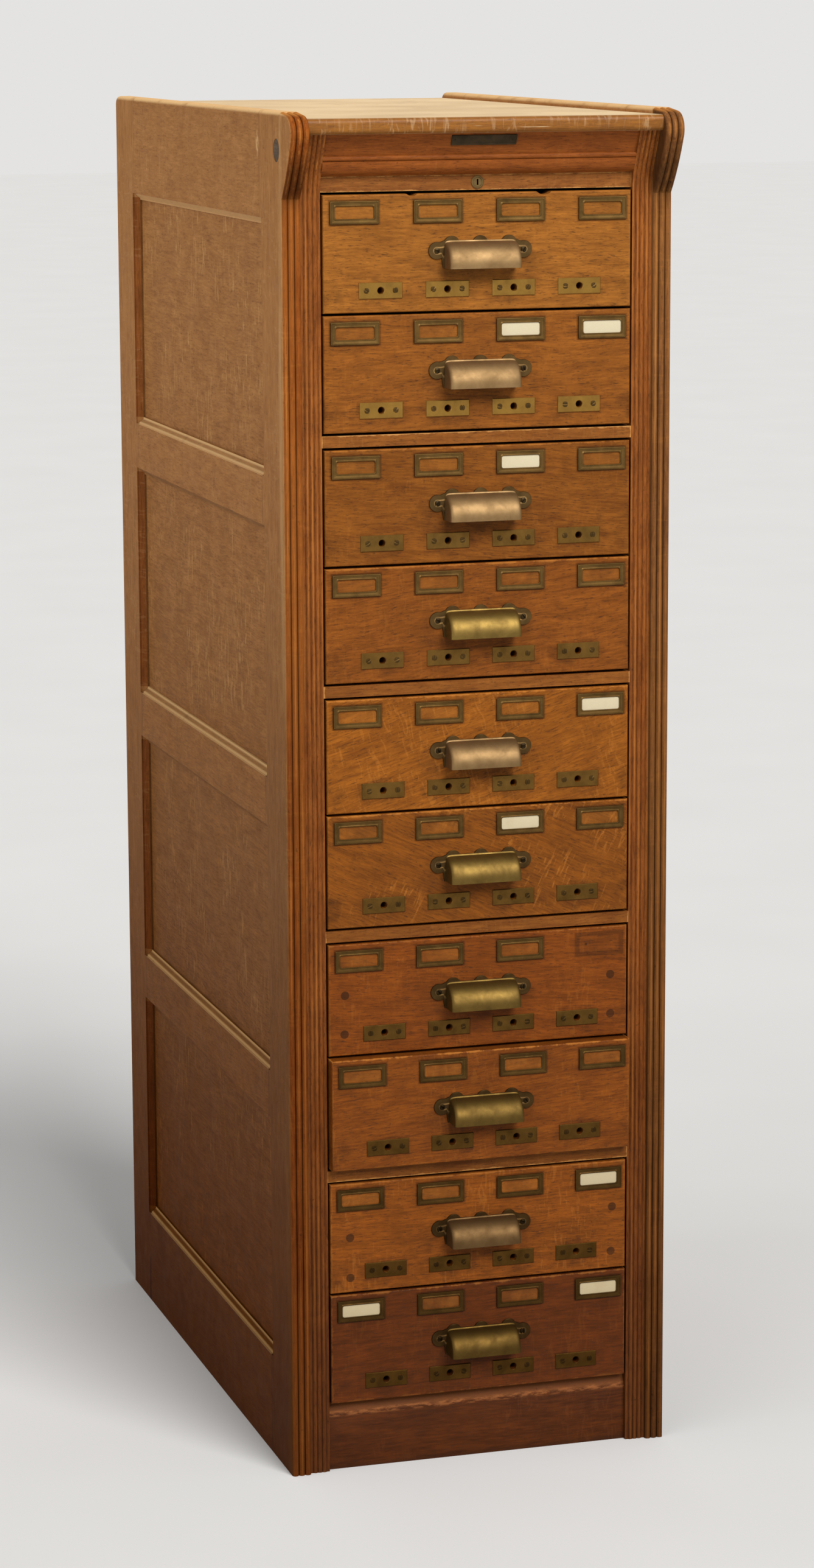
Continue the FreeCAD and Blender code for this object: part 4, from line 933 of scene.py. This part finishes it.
def front_finish(number):
    """A drawer front's oak, with the marks that this drawer has collected."""
    low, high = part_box(f"drawer_{number:02d}_front")
    rods, rod_pitch, _ = rod_row(number)
    label_up = high.z - LABEL_DROP
    pin_hole, pin_radius = 111.0 * MM, 1.6 * MM

    def marks(bench, place, wear):
        x, _, z = bench.split(place)
        cloud = bench.noise(place, 55.0, 4.0, 0.65)

        def near(across, up, half_wide, half_high):
            return bench.oval(across, half_wide, bench.less(z, up), half_high)

        def repeated(middle, pitch):
            """Distance across from the nearest of four things set evenly about a middle."""
            step = bench.maths("FRACT", bench.maths("DIVIDE", bench.less(x, middle), pitch))
            return bench.times(bench.less(step, 0.5), pitch)

        label = repeated(LABEL_MIDDLE, LABEL_PITCH)

        def label_area(more_wide, more_high):
            """One inside each label frame's outline, grown by the given margins."""
            wide = bench.maths("DIVIDE", bench.maths("ABSOLUTE", label), LABEL_SIZE[0] / 2 + more_wide)
            tall = bench.maths("DIVIDE", bench.apart(z, label_up), LABEL_SIZE[1] / 2 + more_high)
            return bench.ramp(bench.most(wide, tall), 1.04, 0.96)

        # hands darken the wood round the pull, and dirt gathers round the plates, a little lower on
        # them, and round the frames
        hands = near(x, high.z - PULL_DROP - 20.5 * MM, 62 * MM, 20 * MM)
        halo = bench.times(bench.ramp(hands, 1.3, 0.7), bench.ramp(cloud, 0.32, 0.68, 0.08, 0.42))
        plate = near(repeated(rods[0], rod_pitch), rods[2] - 1.4 * MM, 29 * MM, 14 * MM)
        round_plate = bench.times(bench.ramp(plate, 1.2, 0.8), bench.ramp(cloud, 0.4, 0.7, 0.05, 0.40))
        spots = bench.ramp(bench.drawn_out(place, (46, 46, 30), 4.0, 0.7), 0.6, 0.8, 0.0, 0.35)
        grime = bench.maths("ADD", bench.most(halo, round_plate), spots)
        grime = bench.most(grime, bench.times(label_area(1.35 * MM, 1.3 * MM), 0.45))
        # the wood behind each window has kept its colour
        window = bench.times(label_area(-3.75 * MM, -3.0 * MM), bench.ramp(cloud, 0.3, 0.7, 0.5, 1.0))
        grime = bench.times(grime, bench.maths("MULTIPLY_ADD", window, -0.85, 1.0))
        if number in LOST_FRAMES:
            # the lost fourth frame has left its outline and a pin hole
            lost = bench.maths("GREATER_THAN", x, LABEL_MIDDLE + LABEL_PITCH)
            ghost = bench.less(label_area(0.35 * MM, 0.4 * MM), label_area(-0.85 * MM, -0.8 * MM))
            window = bench.times(window, bench.maths("MULTIPLY_ADD", lost, -0.9, 1.0))
            pin = near(bench.less(x, pin_hole), label_up, pin_radius, pin_radius)
            mark = bench.most(bench.times(ghost, 0.3), bench.ramp(pin, 1.0, 0.7, 0.0, 0.7))
            grime = bench.most(grime, bench.times(mark, lost))
        for across, up in PLUGS.get(number, ()):
            spot = near(bench.less(x, across * MM), low.z + up * MM, PLUG_RADIUS, PLUG_RADIUS)
            grime = bench.most(grime, bench.times(bench.ramp(spot, 1.0, 0.86), 0.72))
        edge = bench.ramp(z, high.z - 4 * MM, high.z - 1 * MM, 0.25, TOP_RUB.get(number, 0.45))
        worn = bench.maths("MULTIPLY_ADD", window, 0.27, bench.times(wear, edge))
        return worn, bench.maths("MINIMUM", grime, 0.9)

    light, dark = FRONT_TONES_AND_SHADE[number]
    return oak(
        f"drawer {number} front oak", light, dark, (0, math.radians(GRAIN_SLOPE.get(number, 0)), 0),
        40.0 + 3.3 * number, (low, high), 2.4 * MM, marks,
        bare=(178, 112, 44), pores=0.65, flecks=RAY_FLECK.get(number, 0.08),
    )


def pull(name, number, finishes, top, face, random):
    """A drawer's cup, its back plate and the two screws in its ears."""
    low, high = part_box(f"{name}_pull")
    middle = (low.x + high.x) / 2
    cup = hood((middle, face, top), CUP_WIDE, CUP_REACH, CUP_HIGH, CUP_WALL)
    plate = flange((middle, face, top), FLANGE_THICK, CUP_HIGH)
    tone = "pull yellow" if number in YELLOW_PULLS else "pull pink"
    piece(f"{name}_pull_cup", [cup], finishes[tone], name, (f"{name}_pull",))
    piece(f"{name}_pull_flange", [plate], finishes["flange"], name, (f"{name}_pull",))
    screws = []
    for side in (-1, 1):
        centre = (middle + side * EAR_SCREW, face - FLANGE_THICK, top - EAR_DROP)
        screws += screw_head(centre, SCREW_RADIUS, 1.0 * MM, random.uniform(0, math.pi))
    piece(f"{name}_pull_screws", screws, finishes["screw"], name)


def labels(name, number, finishes, up, face):
    """A drawer's label frames, and the cards in some of them.

    The frame's moulding is a list of (inset, height) in millimetres, from its foot outside, over a
    bead and a shallow hollow, to the lip that holds the card.
    """
    moulding = np.array([
        (0, 0), (0, 1.4), (0.35, 1.9), (1.1, 2.0), (1.5, 1.45), (3.7, 1.15), (4.1, 1.5), (4.8, 1.5),
        (5.05, 1.2), (5.05, 0.75), (2.4, 0.75), (2.4, 0),
    ]) * MM
    corners, slot_high = (0.8 * MM, 2.0 * MM), 0.75 * MM
    frames, cards = [], []
    for place in range(1, 5):
        across = LABEL_MIDDLE + (place - 2.5) * LABEL_PITCH
        if place not in LOST_FRAMES.get(number, ()):
            frames.append(framed((across, face, up), LABEL_SIZE, corners, moulding, slot_high))
        if place in CARDS.get(number, ()):
            foot = up - LABEL_SIZE[1] / 2 + 2 * MM
            cards += soft_block(
                (across - CARD_SIZE[0] / 2, face - 0.65 * MM, foot),
                (across + CARD_SIZE[0] / 2, face - 0.25 * MM, foot + CARD_SIZE[1]),
                0.15 * MM,
            )
    piece(f"{name}_label_frames", frames, finishes["label"], name, (f"{name}_fittings",))
    if cards:
        piece(f"{name}_label_cards", cards, finishes["card"], name)


def rod_plates(name, number, finishes, face, random):
    """A drawer's four plates with a rod hole each, and the two screws in every plate."""
    middle, pitch, radius = rod_row(number)
    plates, heads = [], []
    for step in (-1.5, -0.5, 0.5, 1.5):
        centre = (middle[0] + step * pitch, face, middle[2])
        plates.append(holed_plate(centre, PLATE_SIZE, radius, PLATE_THICK))
        for side in (-1, 1):
            head = (centre[0] + side * PLATE_SCREW, face - PLATE_THICK, centre[2])
            heads += screw_head(head, SCREW_RADIUS, 0.45 * MM, random.uniform(0, math.pi), 10)
    tone = "plate bright" if number in LIT_PLATES else "plate"
    piece(f"{name}_rod_plates", plates, finishes[tone], name)
    piece(f"{name}_plate_screws", heads, finishes["plate screw"], name)


def drawer(number, finishes):
    """One drawer: its front and box, and the fittings on its face."""
    name = f"drawer_{number:02d}"
    low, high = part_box(f"{name}_front")
    random = np.random.default_rng(100 + number)
    finished(f"{name}_front", name, front_finish(number))
    paint_node(f"{name}_box", finishes["pine"])
    pull(name, number, finishes, high.z - PULL_DROP, low.y, random)
    labels(name, number, finishes, high.z - LABEL_DROP, low.y)
    rod_plates(name, number, finishes, low.y, random)


def name_plate(material):
    """Blank plate on the sloping frieze: a thin body, a raised border and two pins.

    They are made flat, facing -Y round the origin, and each point is then set out from the middle of
    the CAD plate's back along its width, its slope and its outward direction.
    """
    mesh = frame["nodes"]["name_plate"].data
    corners = np.array([vertex.co for vertex in mesh.vertices])
    face = max(mesh.polygons, key=lambda polygon: polygon.area * (polygon.normal.y < -0.5))
    outward = np.array(face.normal)
    across = np.array([1.0, 0.0, 0.0])
    up = np.cross(outward, across)
    wide, high, thick = (np.ptp(corners @ axis) for axis in (across, up, outward))
    back = (corners.max(0) + corners.min(0)) / 2 - outward * thick / 2
    edge = 0.3 * MM
    flat = soft_block(
        (edge - wide / 2, -0.6 * thick, edge - high / 2), (wide / 2 - edge, 0, high / 2 - edge), 0.15 * MM,
    )
    border = np.array([(0, 0), (0, 0.75), (0.2, 1), (1.0, 1), (1.4, 0.55), (1.4, 0)]) * (MM, thick)
    flat.append(framed((0, 0, 0), (wide, high), (0.9 * MM, 0.4 * MM), border))
    pin_in, pin_radius = 3.6 * MM, 1.1 * MM
    for side in (-1, 1):
        centre = (side * (wide / 2 - pin_in), -0.6 * thick, 0)
        flat += screw_head(centre, pin_radius, 0.35 * thick, 0.3 * side, 10)
    surfaces = [
        (back + points[..., :1] * across - points[..., 1:2] * outward + points[..., 2:] * up, faces)
        for points, faces in flat
    ]
    piece("name_plate_blank", surfaces, material, "cabinet", ("name_plate",))


def metalwork():
    """Name plate and lock."""
    name_plate(brass("name plate bronze", (72, 58, 38), (44, 35, 23), 0.5, 0.5, 0.5))
    lock = brass("lock brass", (142, 116, 72), (62, 48, 30), 0.45, 0.36)
    paint_node("lock_body", lock)
    paint_node("lock_plug", lock)
    turn = next(j for j in frame["joints"] if j["name"] == "lock_plug_turn")["pos_m"]
    rim = [(4.35, -0.6), (4.35, 1.0), (4.7, 1.35), (5.5, 1.35), (6.1, 0.9), (6.2, 0.0), (6.2, -0.6)]
    ring = turned(np.array(rim) * MM, turn)
    piece("lock_rose", [ring], lock, "cabinet")


# ---- studio --------------------------------------------------------------------------------------


def sun_light(name, towards, strength, spread):
    """A far soft light shining along a direction, with the given angular size."""
    light = bpy.data.lights.new(name, "SUN")
    light.energy = strength
    light.angle = math.radians(spread)
    lamp = bpy.data.objects.new(name, light)
    bpy.context.scene.collection.objects.link(lamp)
    yaw = math.atan2(-towards[0], towards[1])
    pitch = math.atan2(math.hypot(towards[0], towards[1]), -towards[2])
    lamp.rotation_euler = Euler((pitch, 0, yaw), "XYZ")


def studio_floor():
    """A wide pale floor under the cabinet."""
    half = 30.0
    material, bench, shader, place = paint("studio floor")
    shade = bench.noise(place, 3.0, 2.0)
    colour = bench.blend(shade, tint(202, 201, 199), tint(208, 207, 205))
    bench.feed(shader.inputs, {"Base Color": colour, "Roughness": 0.8})
    mesh = bpy.data.meshes.new("studio_floor")
    corners = [(-half, -half, 0), (half, -half, 0), (half, half, 0), (-half, half, 0)]
    mesh.from_pydata(corners, [], [(0, 1, 2, 3)])
    mesh.materials.append(material)
    floor = bpy.data.objects.new("studio_floor", mesh)
    bpy.context.scene.collection.objects.link(floor)


def studio_air():
    """A pale surround that looks brighter to the camera than the light it gives."""
    world = bpy.data.worlds.new("studio air")
    world.use_nodes = True
    background = world.node_tree.nodes["Background"]
    air = Bench(world.node_tree)
    seen = air.add("ShaderNodeLightPath").outputs["Is Camera Ray"]
    strength = air.maths("MULTIPLY_ADD", seen, 0.42, 0.42)
    air.feed(background.inputs, {"Color": tint(246, 245, 244), "Strength": strength})
    bpy.context.scene.world = world


def studio_camera():
    """The camera: a little higher than the top, left of the front, with a long lens."""
    lens = bpy.data.cameras.new("camera")
    lens.sensor_width = 36.0
    lens.lens = 96.41
    camera = bpy.data.objects.new("camera", lens)
    bpy.context.scene.collection.objects.link(camera)
    camera.location = (-1.2331, -4.1533, 1.4452)
    down, aside, roll = math.radians(10.663), math.radians(16.842), math.radians(-0.24)
    aim = Euler((math.pi / 2 - down, 0, -aside), "XYZ").to_matrix() @ Euler((0, 0, roll), "XYZ").to_matrix()
    camera.rotation_euler = aim.to_euler()
    bpy.context.scene.camera = camera


def studio():
    """Pale floor and surround, soft light from above and in front, and the camera."""
    studio_floor()
    studio_air()
    sun_light("key above front", (-0.18, 0.74, -0.66), 3.6, 32)
    sun_light("fill from the left", (0.86, 0.38, -0.34), 1.15, 70)
    bpy.context.scene.view_settings.view_transform = "Standard"
    studio_camera()


def fitting_finishes(pine):
    """The finishes that the drawers share."""
    return {
        "pine": pine,
        "pull pink": brass("pull brass pink", (150, 121, 82), (116, 90, 58), 0.55, 0.52, 0.95),
        "pull yellow": brass("pull brass yellow", (138, 112, 58), (96, 76, 38), 0.55, 0.45, 0.95),
        # a darker copy of the pull brass: a painted shade for the dark surround its flat face reflects
        "flange": brass("flange brass", (110, 85, 50), (70, 52, 29), 0.5, 0.44),
        "screw": brass("screw brass", (84, 68, 44), (44, 34, 22), 0.4, 0.38),
        "plate screw": brass("plate screw brass", (98, 74, 40), (60, 45, 23), 0.5, 0.42),
        "label": brass("label frame bronze", (126, 96, 52), (80, 60, 32), 0.5, 0.42),
        "plate": brass("rod plate brass", (134, 100, 48), (88, 64, 30), 0.55, 0.38),
        # a lighter copy of the plate brass for the top two drawers: painted light
        "plate bright": brass("rod plate brass bright", (168, 128, 60), (118, 86, 40), 0.6, 0.34),
        "card": card_paper(),
    }


finishes = fitting_finishes(carcass())
for number in FRONT_TONES_AND_SHADE:
    drawer(number, finishes)
metalwork()
studio()
